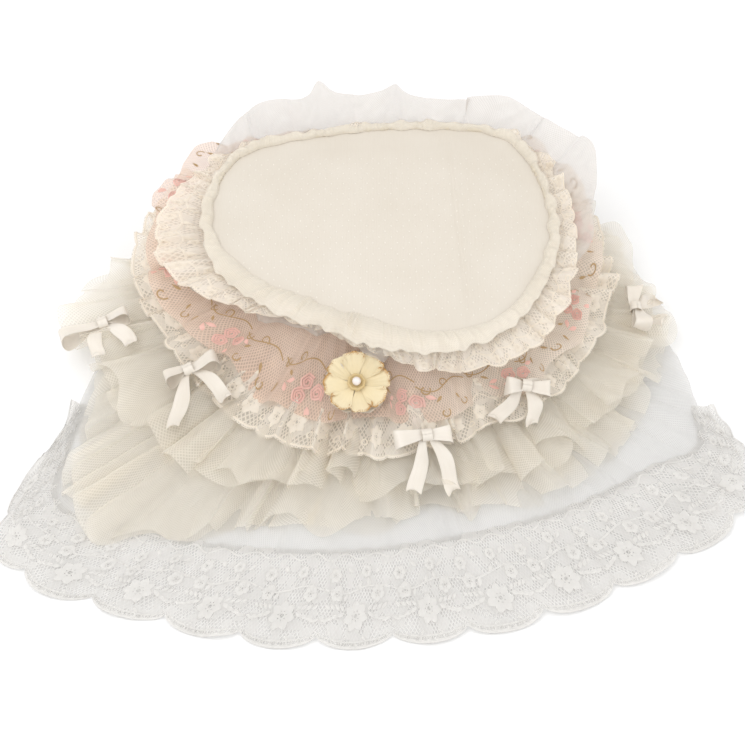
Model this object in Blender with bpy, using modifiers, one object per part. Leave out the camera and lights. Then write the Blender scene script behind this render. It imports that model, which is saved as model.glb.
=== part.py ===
"""Ring bearer pillow: an oval gusseted pad with a skirt of gathered lace and tulle.

The pad stands on its bottom panel.  Every flounce is a ring stitched to the side band at
its own height; it spreads outwards and falls towards its hem.  Bows and the fabric flower
are sewn on top of a flounce, so each takes its place from the flounce that carries it.

Plan angles are in degrees from +X (right) through +Y (back), so the front is at 270.
"""

import math
from dataclasses import dataclass

import bmesh
import bpy
from mathutils import Matrix, Vector
from mathutils.bvhtree import BVHTree

OBJECT_NAME = "ring_bearer_pillow"

# Pad, in metres
PAD_LENGTH = 0.235
PAD_WIDTH = 0.198
PAD_HEIGHT = 0.082
PAD_CROWN = 0.004
BINDING_RADIUS = 0.003

# Cloth and fits
CLOTH = 0.0012
GAP = 0.0003
TIER_GAP = 0.0012
CLEAR_BEYOND = 0.08

# Flounces: the greatest distance that each spreads beyond the pad or the flounce it edges
COLLAR_WIDTH = 0.042
ORGANZA_WIDTH = 0.045
PINK_WIDTH = 0.068
NARROW_LACE_WIDTH = 0.085
UPPER_TULLE_WIDTH = 0.120
LOWER_TULLE_WIDTH = 0.200
TRAIN_WIDTH = 0.200
TRAIN_LACE_WIDTH = 0.082

# Bows
RIBBON_WIDTH = 0.011
RIBBON_THICKNESS = 0.0008
LOOP_THICKNESS = 0.0016
KNOT_LENGTH = 0.007

# Flower
FLOWER_RADIUS = 0.024
FLOWER_PETAL_THICKNESS = 0.0009
FLOWER_BACKING_RADIUS = 0.010
FLOWER_CUP_RADIUS = 0.0062
FLOWER_CUP_HEIGHT = 0.0035
PEARL_RADIUS = 0.003

# Where the flower sits on the pink flounce: plan angle, distance out from the side band as a
# share of the flower's radius, and lean to the front as a share of the cloth's slope
FLOWER_ANGLE = 260
FLOWER_OUT = 1.13
FLOWER_LEAN = 0.70

# How finely round outlines are cut, and how far a flounce's rows crowd to its seam
RIM_STEPS = 48
FLOUNCE_ROWS = 4
ROW_CROWDING = 1.4
PETAL_STEPS = 6

# Outline of the pad: plan angle, reach as a share of the plain ellipse's
PAD_OUTLINE = (
    (8, 0.99), (26, 1.07), (47, 1.22), (66, 1.13), (90, 1.05), (117, 1.06),
    (140, 1.17), (163, 1.09), (190, 0.97), (207, 0.89), (225, 0.82), (248, 0.81),
    (272, 0.90), (290, 0.99), (312, 1.02), (340, 0.96),
)

WHITE = (0.80, 0.79, 0.78)
IVORY = (0.84, 0.80, 0.72)
CREAM = (0.82, 0.77, 0.64)


def cycle(knots, angle):
    """Smooth curve round the full circle through knots of (angle, value, ...)."""
    count = len(knots)
    first = next((i for i, knot in enumerate(knots) if knot[0] > angle % 360), count) - 1

    def knot_at(index):
        turns, place = divmod(index, count)
        return knots[place][0] + 360 * turns, knots[place][1:]

    (a0, v0), (a1, v1), (a2, v2), (a3, v3) = (knot_at(first + k) for k in (-1, 0, 1, 2))
    span = a2 - a1
    s = (angle % 360 - a1) / span
    values = []
    for p0, p1, p2, p3 in zip(v0, v1, v2, v3):
        leave = (p2 - p0) / (a2 - a0) * span
        arrive = (p3 - p1) / (a3 - a1) * span
        values.append(
            (2 * s**3 - 3 * s**2 + 1) * p1
            + (s**3 - 2 * s**2 + s) * leave
            + (3 * s**2 - 2 * s**3) * p2
            + (s**3 - s**2) * arrive
        )
    return values


def pad_reach(angle):
    """Distance from the pad's axis to the outside of its side band."""
    turn = math.radians(angle)
    ellipse = 1 / math.hypot(2 * math.cos(turn) / PAD_LENGTH, 2 * math.sin(turn) / PAD_WIDTH)
    return cycle(PAD_OUTLINE, angle)[0] * ellipse


def polar(angle, reach, height):
    """Point at a plan angle, a distance from the pad's axis and a height."""
    turn = math.radians(angle)
    return Vector((reach * math.cos(turn), reach * math.sin(turn), height))


def rim_angles():
    """Plan angles that every round outline is cut at, so that neighbours match."""
    return [360 * i / RIM_STEPS for i in range(RIM_STEPS)]


def pad_loop(inset, height, share=1.0):
    """Loop of points round the pad: its outline moved inwards, shrunk, at one height."""
    return [polar(a, (pad_reach(a) - inset) * share, height) for a in rim_angles()]


@dataclass(frozen=True)
class Flounce:
    """A gathered strip stitched to the side band, from its seam to its hem.

    seam is the stitching height as a share of PAD_HEIGHT.  hem holds (plan angle, spread as
    a share of width, height as a share of PAD_HEIGHT).  ease bends the fall between seam
    and hem: below 1 the cloth drops first and then runs out, far above 1 it turns up late.
    A strip that edges another flounce starts at that one's hem; arc limits it to a part of
    the circle.  One that lies beyond another measures its spread from that one's hem, so a
    negative share keeps it under there.
    """

    name: str
    colour: tuple
    width: float
    seam: float
    hem: tuple
    ease: float = 0.6
    edges: "Flounce | None" = None
    beyond: "Flounce | None" = None
    arc: tuple | None = None

    def seam_reach(self, angle):
        """Distance from the pad's axis to the stitched edge."""
        if self.edges:
            return self.edges.hem_reach(angle) + GAP
        return pad_reach(angle) + GAP

    def hem_reach(self, angle):
        """Distance from the pad's axis to the free edge."""
        start = self.beyond.hem_reach(angle) if self.beyond else self.seam_reach(angle)
        return start + self.width * cycle(self.hem, angle)[0]

    def share_at(self, angle, reach):
        """Share of the way from seam to hem at a distance from the pad's axis."""
        start = self.seam_reach(angle)
        return (reach - start) / (self.hem_reach(angle) - start)

    def point(self, angle, t):
        """Point on the under side, t = 0 at the seam and 1 at the hem.

        The strip keeps clear of the one that it lies on, wherever that reaches as far.
        """
        start = self.seam_reach(angle)
        reach = start + (self.hem_reach(angle) - start) * t
        low = cycle(self.hem, angle)[1]
        height = PAD_HEIGHT * (self.seam + (low - self.seam) * max(t, 0)**self.ease)
        under = LIES_ON.get(self.name)
        if under and 0 <= under.share_at(angle, reach) <= 1 + CLEAR_BEYOND:
            support = under.point(angle, min(under.share_at(angle, reach), 1)).z
            height = max(height, support + CLOTH + TIER_GAP)
        return polar(angle, reach, height)

    def build(self):
        """Open surface with the cloth's thickness added on its upper side."""
        rows = [(i / FLOUNCE_ROWS) ** ROW_CROWDING for i in range(FLOUNCE_ROWS + 1)]
        start, end = self.arc or (0, 360)
        angles = [a for a in rim_angles() if start <= a <= end]
        loops = [[self.point(a, t) for a in angles] for t in rows]
        piece = loft(self.name, loops, self.colour, closed=not self.arc)
        thicken(piece, CLOTH, offset=1)
        return piece


COLLAR = Flounce(
    "lace_collar", IVORY, COLLAR_WIDTH, 0.925,
    (
        (0, 0.50, 0.90), (31, 0.50, 0.93), (60, 0.14, 0.945), (90, 0.22, 0.95),
        (120, 0.19, 0.95), (145, 0.42, 0.945), (160, 0.72, 0.93), (175, 1.00, 0.90),
        (190, 1.00, 0.87), (206, 0.66, 0.83), (230, 0.26, 0.80), (250, 0.24, 0.79),
        (270, 0.32, 0.76), (294, 0.38, 0.75), (321, 0.61, 0.81), (345, 0.58, 0.85),
    ),
    ease=1.5,
)
ORGANZA = Flounce(
    "organza_frill", WHITE, ORGANZA_WIDTH, 0.850,
    (
        (0, 0.19, 0.90), (16, 0.37, 0.98), (30, 0.53, 1.03), (42, 0.42, 1.07),
        (52, 0.24, 1.18), (72, 0.19, 1.26), (90, 0.15, 1.28), (110, 0.31, 1.28),
        (130, 0.36, 1.22), (140, 0.19, 1.10), (150, 0.03, 0.85), (165, -0.29, 0.80),
        (190, -0.33, 0.76), (210, -0.29, 0.76), (230, -0.12, 0.80), (250, -0.12, 0.80),
        (270, -0.16, 0.78), (294, -0.21, 0.78), (321, -0.33, 0.76), (345, -0.18, 0.80),
        (354, 0.02, 0.82),
    ),
    ease=6, beyond=COLLAR,
)
PINK = Flounce(
    "pink_tulle_flounce", (0.72, 0.55, 0.48), PINK_WIDTH, 0.79,
    (
        (6, 0.58, 0.65), (25, 0.58, 0.70), (50, 0.45, 0.67), (90, 0.45, 0.67),
        (125, 0.50, 0.71), (147, 0.64, 0.78), (172, 0.72, 0.70), (190, 0.74, 0.63),
        (214, 0.62, 0.50), (240, 0.81, 0.44), (261, 0.68, 0.45), (284, 0.50, 0.46),
        (309, 0.45, 0.48), (340, 0.58, 0.56),
    ),
)
NARROW_LACE = Flounce(
    "narrow_lace_flounce", IVORY, NARROW_LACE_WIDTH, 0.69,
    (
        (0, 0.60, 0.44), (45, 0.45, 0.46), (90, 0.52, 0.44), (135, 0.58, 0.46),
        (180, 0.74, 0.46), (198, 0.68, 0.38), (220, 0.80, 0.33), (240, 0.88, 0.30),
        (255, 0.83, 0.32), (274, 0.72, 0.33), (294, 0.53, 0.34), (328, 0.56, 0.37),
    ),
)
UPPER_TULLE = Flounce(
    "upper_tulle_flounce", CREAM, UPPER_TULLE_WIDTH, 0.55,
    (
        (3, 0.60, 0.31), (20, 0.45, 0.32), (45, 0.40, 0.32), (90, 0.47, 0.30),
        (135, 0.46, 0.33), (162, 0.44, 0.34), (174, 0.62, 0.32), (187, 0.97, 0.26),
        (198, 0.88, 0.24), (213, 0.92, 0.21), (232, 0.96, 0.18), (252, 0.75, 0.19),
        (273, 0.66, 0.16), (292, 0.60, 0.16), (311, 0.61, 0.17), (341, 0.68, 0.22),
    ),
)
LOWER_TULLE = Flounce(
    "lower_tulle_flounce", CREAM, LOWER_TULLE_WIDTH, 0.38,
    (
        (20, 0.28, 0.16), (45, 0.27, 0.16), (90, 0.31, 0.13), (130, 0.32, 0.15),
        (165, 0.29, 0.16), (180, 0.36, 0.15), (196, 0.48, 0.12), (210, 0.72, 0.10),
        (225, 0.96, 0.08), (236, 0.77, 0.07), (253, 0.59, 0.07), (273, 0.49, 0.07),
        (290, 0.43, 0.07), (306, 0.48, 0.07), (330, 0.46, 0.11), (352, 0.45, 0.17),
    ),
)
TRAIN = Flounce(
    "train_tulle", WHITE, TRAIN_WIDTH, 0.12,
    (
        (0, 0.38, 0), (20, 0.29, 0), (45, 0.26, 0), (90, 0.33, 0), (135, 0.30, 0),
        (165, 0.28, 0), (185, 0.38, 0), (199, 0.56, 0), (210, 0.77, 0), (218, 0.93, 0),
        (226, 0.88, 0), (238, 0.77, 0), (255, 0.66, 0), (273, 0.57, 0), (288, 0.52, 0),
        (304, 0.53, 0), (321, 0.59, 0), (332, 0.70, 0), (340, 0.58, 0),
    ),
    ease=0.35,
)
TRAIN_LACE = Flounce(
    "train_lace", WHITE, TRAIN_LACE_WIDTH, 0,
    (
        (198, 0.08, 0), (210, 0.30, 0), (221, 0.75, 0), (236, 0.84, 0), (254, 0.92, 0),
        (272, 0.92, 0), (285, 0.95, 0), (311, 0.90, 0), (323, 0.88, 0), (333, 0.40, 0),
        (341, 0.08, 0),
    ),
    edges=TRAIN, arc=(200, 340),
)
FLOUNCES = (COLLAR, ORGANZA, PINK, NARROW_LACE, UPPER_TULLE, LOWER_TULLE, TRAIN, TRAIN_LACE)
TIERS = (PINK, NARROW_LACE, UPPER_TULLE, LOWER_TULLE, TRAIN)
LIES_ON = {upper.name: lower for upper, lower in zip(TIERS, TIERS[1:])}
COVERED_BY = {PINK.name: COLLAR, NARROW_LACE.name: PINK, UPPER_TULLE.name: NARROW_LACE}


@dataclass(frozen=True)
class Bow:
    """A tied satin bow lying on the part of a flounce that shows.

    angle and place put its knot there: place is 0 at the hem of the flounce above and 1 at
    this one's own.  heading turns the bow in the cloth's plane, and tilt leans the tails
    down (degrees).
    """

    name: str
    flounce: Flounce
    angle: float
    place: float
    heading: float
    loop_length: float
    tail_length: float
    tilt: float = 0.0


BOWS = (
    Bow("bow_left", UPPER_TULLE, 191, 0.55, 99, 0.022, 0.020),
    Bow("bow_left_front", NARROW_LACE, 212, 0.88, 79, 0.016, 0.026),
    Bow("bow_front", NARROW_LACE, 281, 0.56, 0, 0.016, 0.028, 10),
    Bow("bow_right", PINK, 312, 0.92, -42, 0.012, 0.020, 10),
    Bow("bow_far_right", UPPER_TULLE, 352, 0.57, 10, 0.014, 0.018),
)


def clear_scene():
    """Start from an empty scene."""
    for item in list(bpy.data.objects):
        bpy.data.objects.remove(item, do_unlink=True)


def link(item, colour, roughness=0.85, metallic=0.0):
    """Put a piece in the object's collection, with a material of its own."""
    material = bpy.data.materials.new(item.name)
    material.use_nodes = True
    shader = material.node_tree.nodes["Principled BSDF"]
    shader.inputs["Base Color"].default_value = (*colour, 1)
    shader.inputs["Roughness"].default_value = roughness
    shader.inputs["Metallic"].default_value = metallic
    item.data.materials.append(material)
    PARTS.objects.link(item)
    return item


def loft(name, loops, colour, closed=True, caps=(False, False), wrap=False, **finish):
    """Skin a row of equally long anticlockwise loops of points with quads.

    The skin faces up where the loops widen, and outwards where they go down.  closed joins
    each loop's ends, caps fills the first and the last loop, and wrap joins the last loop
    back to the first.
    """
    mesh_data = bmesh.new()
    rows = [[mesh_data.verts.new(p) for p in loop] for loop in loops]
    count = len(rows[0])
    pairs = list(zip(rows, rows[1:]))
    if wrap:
        pairs.append((rows[-1], rows[0]))
    for near, far in pairs:
        for i in range(count if closed else count - 1):
            j = (i + 1) % count
            mesh_data.faces.new((near[i], far[i], far[j], near[j]))
    if caps[0]:
        mesh_data.faces.new(rows[0])
    if caps[1]:
        mesh_data.faces.new(rows[-1][::-1])
    mesh = bpy.data.meshes.new(name)
    mesh_data.to_mesh(mesh)
    mesh_data.free()
    mesh.shade_smooth()
    mesh.set_sharp_from_angle(angle=math.radians(50))
    return link(bpy.data.objects.new(name, mesh), colour, **finish)


def thicken(piece, thickness, offset):
    """Give an open surface its thickness; offset 1 adds it above, -1 below."""
    modifier = piece.modifiers.new("thickness", "SOLIDIFY")
    modifier.thickness = thickness
    modifier.offset = offset


def slab(name, outline, bottom, thickness, colour, smooth=False, **finish):
    """Flat piece: a closed outline in X and Y, extruded upwards from bottom."""
    curve = bpy.data.curves.new(name, "CURVE")
    curve.dimensions = "2D"
    curve.fill_mode = "BOTH"
    curve.extrude = thickness / 2
    if smooth:
        spline = curve.splines.new("BEZIER")
        spline.bezier_points.add(len(outline) - 1)
        for point, (x, y) in zip(spline.bezier_points, outline):
            point.co = (x, y, 0)
            point.handle_left_type = point.handle_right_type = "AUTO"
        spline.resolution_u = 3
    else:
        spline = curve.splines.new("POLY")
        spline.points.add(len(outline) - 1)
        for point, (x, y) in zip(spline.points, outline):
            point.co = (x, y, 0, 1)
    spline.use_cyclic_u = True
    piece = bpy.data.objects.new(name, curve)
    piece.location.z = bottom + thickness / 2
    return link(piece, colour, **finish)


def build_pad():
    """Core, top panel, side band, bottom panel and the gathered binding."""
    inside = CLOTH + GAP
    rim = PAD_HEIGHT - CLOTH
    crown = ((0.30, 1.0), (0.60, 0.72), (0.85, 0.30), (1.0, 0))

    def dome(inset, height):
        return [pad_loop(inset, height + PAD_CROWN * rise, share) for share, rise in crown]

    top = loft("top_panel", dome(0, rim), IVORY, caps=(True, False), roughness=0.9)
    thicken(top, CLOTH, offset=1)
    loft(
        "side_band",
        [pad_loop(0, rim - GAP), pad_loop(0, inside),
         pad_loop(CLOTH, inside), pad_loop(CLOTH, rim - GAP)],
        CREAM, wrap=True,
    )
    slab("bottom_panel", [(p.x, p.y) for p in pad_loop(0, 0)], 0, CLOTH, IVORY)
    loft(
        "pillow_core", dome(inside, rim - GAP) + [pad_loop(inside, inside)],
        WHITE, caps=(True, True), roughness=1.0,
    )
    bead(pad_loop(-(BINDING_RADIUS + 2 * GAP), rim + BINDING_RADIUS / 2))


def bead(path):
    """Binding: a soft round strip along a closed path."""
    curve = bpy.data.curves.new("seam_binding", "CURVE")
    curve.dimensions = "3D"
    curve.bevel_depth = BINDING_RADIUS
    curve.bevel_resolution = 1
    spline = curve.splines.new("POLY")
    spline.points.add(len(path) - 1)
    for point, place in zip(spline.points, path):
        point.co = (*place, 1)
    spline.use_cyclic_u = True
    link(bpy.data.objects.new("seam_binding", curve), CREAM)


def seat_on(flounce, angle, reach, heading, tilt):
    """Empty whose Z leaves the cloth and whose Y points up the slope, turned by heading."""
    t = flounce.share_at(angle, reach)
    here = flounce.point(angle, t)
    outwards = flounce.point(angle, min(t + 0.2, 1)) - flounce.point(angle, t - 0.2)
    across = polar(angle + 90, 1, 0)
    normal = outwards.cross(across).normalized()
    side = across.normalized()
    frame = Matrix((side, normal.cross(side), normal)).transposed().to_4x4()
    empty = bpy.data.objects.new("seat", None)
    PARTS.objects.link(empty)
    turn = Matrix.Rotation(math.radians(heading), 4, "Z")
    lean = Matrix.Rotation(math.radians(tilt), 4, "X")
    place = Matrix.Translation(here + normal * CLOTH)
    empty.matrix_world = place @ frame @ turn @ lean
    return empty


def settle(seat, flounce, pieces):
    """Move the seat up or down until its pieces rest on the flounce, a fit's gap above it.

    The cloth of the flounce and of all those under it is felt for below points along each
    edge of the pieces, and the pieces are felt for above each edge of the cloth.
    """
    bpy.context.view_layer.update()
    depsgraph = bpy.context.evaluated_depsgraph_get()

    def shape(item):
        mesh = item.evaluated_get(depsgraph).to_mesh()
        corners = [item.matrix_world @ vertex.co for vertex in mesh.vertices]
        faces = [face.vertices[:] for face in mesh.polygons]
        ends = [[corners[i] for i in edge.vertices] for edge in mesh.edges]
        points = [a.lerp(b, share) for a, b in ends for share in (0, 0.25, 0.5, 0.75, 1)]
        return points, BVHTree.FromPolygons(corners, faces)

    up = Vector((0, 0, 1))
    lies_under = FLOUNCES[FLOUNCES.index(flounce):]
    cloths = [shape(bpy.data.objects[strip.name]) for strip in lies_under]
    needed = -PAD_HEIGHT
    for points, tree in map(shape, pieces):
        for cloth_points, cloth_tree in cloths:
            for point in points:
                found = cloth_tree.ray_cast(point + up * PAD_HEIGHT, -up)[0]
                if found:
                    needed = max(needed, found.z - point.z)
            for point in cloth_points:
                found = tree.ray_cast(point - up * PAD_HEIGHT, up)[0]
                if found:
                    needed = max(needed, point.z - found.z)
    seat.location.z += needed + 2 * GAP


def build_bow(bow):
    """Loops, tails and the knot wrapped round both."""
    above = COVERED_BY[bow.flounce.name].hem_reach(bow.angle)
    reach = above + (bow.flounce.hem_reach(bow.angle) - above) * bow.place
    seat = seat_on(bow.flounce, bow.angle, reach, bow.heading, bow.tilt)
    waist = RIBBON_WIDTH * 0.30
    flare = RIBBON_WIDTH * 0.62
    inner = KNOT_LENGTH / 2
    end = inner + bow.loop_length

    right = [(inner + 0.001, waist), (end * 0.62, flare), (end * 0.93, flare * 0.9), (end, 0)]
    upper = [(-x, y) for x, y in right[::-1]] + right
    lower = [(x, -y) for x, y in upper[::-1] if y > 0]
    tail_bottom = GAP + RIBBON_THICKNESS
    loop_bottom = tail_bottom + RIBBON_THICKNESS + GAP
    loops = slab(
        f"{bow.name}_loops", [p for p in upper if p[1] >= 0] + lower,
        loop_bottom, LOOP_THICKNESS, IVORY, smooth=True, roughness=0.35,
    )

    # Each tail leaves the knot sideways, bends down and widens to the full ribbon.
    lean = bow.tail_length * 0.45
    reach = inner + 0.002
    tail = [
        (reach, waist), (reach + lean * 0.5, -waist), (reach + lean, -bow.tail_length),
        (reach + lean - RIBBON_WIDTH * 0.9, -bow.tail_length * 0.94), (reach, -waist),
    ]
    outline = tail + [(-x, y) for x, y in tail[::-1]]
    tails = slab(
        f"{bow.name}_tails", outline, tail_bottom, RIBBON_THICKNESS, IVORY, roughness=0.35,
    )

    top = loop_bottom + LOOP_THICKNESS + GAP
    wall = RIBBON_THICKNESS
    hole = [(-(waist + GAP), top), (-(waist + GAP), GAP), (waist + GAP, GAP), (waist + GAP, top)]
    skin = [(y + math.copysign(wall, y), z + (wall if z == top else -wall)) for y, z in hole]
    sides = [(inner, skin), (-inner, skin), (-inner, hole), (inner, hole)]
    knot = loft(
        f"{bow.name}_knot",
        [[Vector((x, y, z)) for y, z in ring] for x, ring in sides],
        IVORY, wrap=True, roughness=0.35,
    )
    pieces = (loops, tails, knot)
    for piece in pieces:
        piece.parent = seat
    settle(seat, bow.flounce, pieces)


def petal_outline(radius, petals, depth):
    """Closed outline with rounded lobes, cut in at each petal's root by a share, depth."""
    count = petals * PETAL_STEPS
    points = []
    for i in range(count):
        turn = 2 * math.pi * i / count
        reach = radius * (1 - depth * abs(math.cos(petals * turn / 2)) ** 3)
        points.append((reach * math.cos(turn), reach * math.sin(turn)))
    return points


def build_flower():
    """Fabric flower on the pink flounce: backing, two rings of petals, cup and pearl."""
    reach = pad_reach(FLOWER_ANGLE) + FLOWER_OUT * FLOWER_RADIUS
    seat = seat_on(PINK, FLOWER_ANGLE, reach, 0, 0)
    slope = seat.matrix_world.col[2].xyz.angle(Vector((0, 0, 1)))
    seat.rotation_euler = (FLOWER_LEAN * slope, 0, 0)
    yellow = (0.83, 0.73, 0.45)
    level = 0.0
    bpy.ops.mesh.primitive_cylinder_add(
        vertices=24, radius=FLOWER_BACKING_RADIUS, depth=CLOTH, location=(0, 0, CLOTH / 2),
    )
    backing = adopt("flower_backing", IVORY)
    level += CLOTH + GAP
    lower = slab(
        "flower_lower_petals", petal_outline(FLOWER_RADIUS, 5, 0.25),
        level, FLOWER_PETAL_THICKNESS, IVORY,
    )
    level += FLOWER_PETAL_THICKNESS + GAP
    upper = slab(
        "flower_upper_petals", petal_outline(FLOWER_RADIUS, 8, 0.14),
        level, FLOWER_PETAL_THICKNESS, yellow, roughness=0.6,
    )
    level += FLOWER_PETAL_THICKNESS + GAP
    cup = turned_cup(level)
    bpy.ops.mesh.primitive_uv_sphere_add(
        segments=16, ring_count=10, radius=PEARL_RADIUS,
        location=(0, 0, level + FLOWER_PETAL_THICKNESS + GAP + PEARL_RADIUS),
    )
    pearl = adopt("flower_pearl", (0.85, 0.82, 0.80), roughness=0.2)
    pieces = (backing, lower, upper, cup, pearl)
    for piece in pieces:
        piece.parent = seat
    settle(seat, PINK, pieces)


def adopt(name, colour, **finish):
    """Take the primitive that was just added into the object's collection."""
    piece = bpy.context.object
    piece.name = name
    for holder in list(piece.users_collection):
        holder.objects.unlink(piece)
    piece.data.shade_smooth()
    piece.data.set_sharp_from_angle(angle=math.radians(50))
    return link(piece, colour, **finish)


def turned_cup(bottom):
    """Small open cup turned round the flower's axis, with a closed floor."""
    wall = FLOWER_PETAL_THICKNESS
    radius = FLOWER_CUP_RADIUS
    profile = [
        (radius * 0.80, FLOWER_CUP_HEIGHT), (radius * 0.80 + wall, FLOWER_CUP_HEIGHT),
        (radius, wall), (radius * 0.92, 0), (0, 0), (0, wall), (radius * 0.7, wall),
    ]
    mesh = bpy.data.meshes.new("flower_cup")
    points = [(-x, 0, bottom + z) for x, z in profile]
    edges = [(i, i + 1) for i in range(len(points) - 1)] + [(len(points) - 1, 0)]
    edges.remove((4, 5))
    mesh.from_pydata(points, edges, [])
    piece = bpy.data.objects.new("flower_cup", mesh)
    screw = piece.modifiers.new("turn", "SCREW")
    screw.steps = screw.render_steps = 20
    screw.use_merge_vertices = True
    screw.merge_threshold = 0.00001
    screw.use_normal_calculate = True
    return link(piece, (0.83, 0.73, 0.45), roughness=0.6)


clear_scene()
PARTS = bpy.data.collections.new(OBJECT_NAME)
bpy.context.scene.collection.children.link(PARTS)
build_pad()
for strip in FLOUNCES:
    strip.build()
for ribbon in BOWS:
    build_bow(ribbon)
build_flower()
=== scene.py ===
"""Ring bearer pillow: a stuffed oval pad in a skirt of gathered lace and tulle, with bows and a flower.

Lengths are in metres.  Each strip of cloth is draped on the CAD ring that stands for it: its
seam, its hem and its fall are read off that ring, and the gathers are added to them.  Lace
patterns and embroidery are drawn flat as one repeat, repeated along the strip and laid on the
cloth by Geometry Nodes, through the cloth's own UV map, which is in metres.

Plan angles are in degrees from +X (right) through +Y (back), so the front is at 270.
"""

import logging
import math
from collections.abc import Callable, Iterable, Sequence
from dataclasses import dataclass, field
from enum import Enum

import bmesh
import bpy
import numpy as np
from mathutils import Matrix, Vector
from mathutils.bvhtree import BVHTree


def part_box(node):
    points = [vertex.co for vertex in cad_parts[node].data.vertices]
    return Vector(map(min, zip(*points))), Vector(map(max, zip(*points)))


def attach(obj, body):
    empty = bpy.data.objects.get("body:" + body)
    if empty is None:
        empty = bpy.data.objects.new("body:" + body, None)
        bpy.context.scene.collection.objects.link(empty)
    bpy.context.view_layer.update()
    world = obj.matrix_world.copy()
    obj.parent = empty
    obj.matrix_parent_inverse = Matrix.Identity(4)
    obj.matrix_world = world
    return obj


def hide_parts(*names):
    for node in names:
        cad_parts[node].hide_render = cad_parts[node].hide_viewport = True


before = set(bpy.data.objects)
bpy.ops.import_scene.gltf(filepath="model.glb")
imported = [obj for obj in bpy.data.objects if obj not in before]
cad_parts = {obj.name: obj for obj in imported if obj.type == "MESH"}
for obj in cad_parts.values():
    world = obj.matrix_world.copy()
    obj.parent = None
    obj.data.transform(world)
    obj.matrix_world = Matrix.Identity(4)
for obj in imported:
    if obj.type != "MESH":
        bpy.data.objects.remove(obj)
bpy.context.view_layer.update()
LOG = logging.getLogger("ring_pillow")

# The CAD rings have corners at this many plan angles, this many degrees apart.
SPOKES = 48
SPOKE = 360 / SPOKES
UV = "UVMap"
LAYING = "lay_pattern_on_cloth"
OVERHEAD = Vector((0, 0, 1))
DOWN = Vector((0, 0, -1))
Points = np.ndarray

# Blotches of colour in a cloth, to the metre, so about one in 45 mm.
BLOTCHES = 22.0
# How much of a cloth's tone comes from its blotches and from its threads, and where the tone starts. The
# threads' share makes the hollows between threads darker than the raised threads: painted shade.
BLOTCH_TONE, THREAD_TONE_AND_SHADE, TONE_START = 0.9, 0.45, -0.2
# Raised threads are this much less rough than the hollows.
THREAD_SHINE = -0.12
# How unevenly a sheer cloth covers, and the least that it stops.
VEIL_VARY, VEIL_LEAST = 0.24, 0.02
# The strongest share of a paler dye.
DYE_MOST = 0.8
# A net's slant of threads, and how thin they are drawn.
NET_SLANT, NET_THINNESS = 0.6, 5.0
# Dense sprigs of a lace ground: their pitch in cells and the share of it that they fill.
SPRIG_PITCH, SPRIG_SIZE = 3.2, 0.36
# Stretched noise of slubs in woven cotton and of floats in satin, to the metre along and across.
SLUBS, FLOATS = (900, 60, 1), (60, 2200, 1)
# How round a scallop is; 1 is a half circle.
SCALLOP_ROUND = 0.92
# Cloth is gathered so that it lies at no less than this share of its cut length.
GATHERED = 0.8


# ------------------------------------------------------------------ materials


def linear(code: str) -> tuple[float, float, float, float]:
    """Turn an sRGB hex colour into a linear one with full alpha."""
    parts = [int(code[i:i + 2], 16) / 255 for i in (1, 3, 5)]
    return (*(p / 12.92 if p <= 0.04045 else ((p + 0.055) / 1.055) ** 2.4 for p in parts), 1.0)


def add(tree: bpy.types.NodeTree, kind: str, inputs: dict | None = None,
        **settings: object) -> bpy.types.Node:
    """Add a node to a tree.

    Args:
        tree: The shader or geometry tree.
        kind: The node's type.
        inputs: Socket name or index to a value, or to the socket that feeds it.
        settings: The node's own properties.

    Returns:
        The new node.
    """
    node = tree.nodes.new(kind)
    for key, value in settings.items():
        setattr(node, key, value)
    for key, value in (inputs or {}).items():
        if isinstance(value, bpy.types.NodeSocket):
            tree.links.new(value, node.inputs[key])
        else:
            node.inputs[key].default_value = value
    return node


def maths(tree: bpy.types.NodeTree, operation: str,
          *values: float | bpy.types.NodeSocket) -> bpy.types.NodeSocket:
    """Join values or sockets by one operation of the Math node."""
    return add(tree, "ShaderNodeMath", dict(enumerate(values)), operation=operation).outputs[0]


def noise(tree: bpy.types.NodeTree, where: bpy.types.NodeSocket, scale: float,
          detail: float = 2.0) -> bpy.types.NodeSocket:
    """Noise between 0 and 1 with so many blotches to the metre."""
    return add(tree, "ShaderNodeTexNoise", {"Vector": where, "Scale": scale, "Detail": detail}).outputs[0]


def blend(tree: bpy.types.NodeTree, share: bpy.types.NodeSocket, low: str | bpy.types.NodeSocket,
          high: str | bpy.types.NodeSocket) -> bpy.types.NodeSocket:
    """Go from one colour to another, each a hex code or a socket, as the share goes from 0 to 1."""
    first, last = (linear(colour) if isinstance(colour, str) else colour for colour in (low, high))
    return add(tree, "ShaderNodeMix", {0: share, 6: first, 7: last}, data_type="RGBA").outputs[2]


def blank_material(name: str) -> tuple[bpy.types.Material, bpy.types.NodeTree]:
    """Make a material whose tree is empty.

    Args:
        name: The material's name.

    Returns:
        The material and its tree.
    """
    made = bpy.data.materials.new(name)
    made.use_nodes = True
    made.node_tree.nodes.clear()
    return made, made.node_tree


class Ground(Enum):
    """The thread pattern that a cloth is made in."""

    WOVEN = "woven"
    NET = "net"
    LACE = "lace"
    SATIN = "satin"
    PLAIN = "plain"


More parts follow.
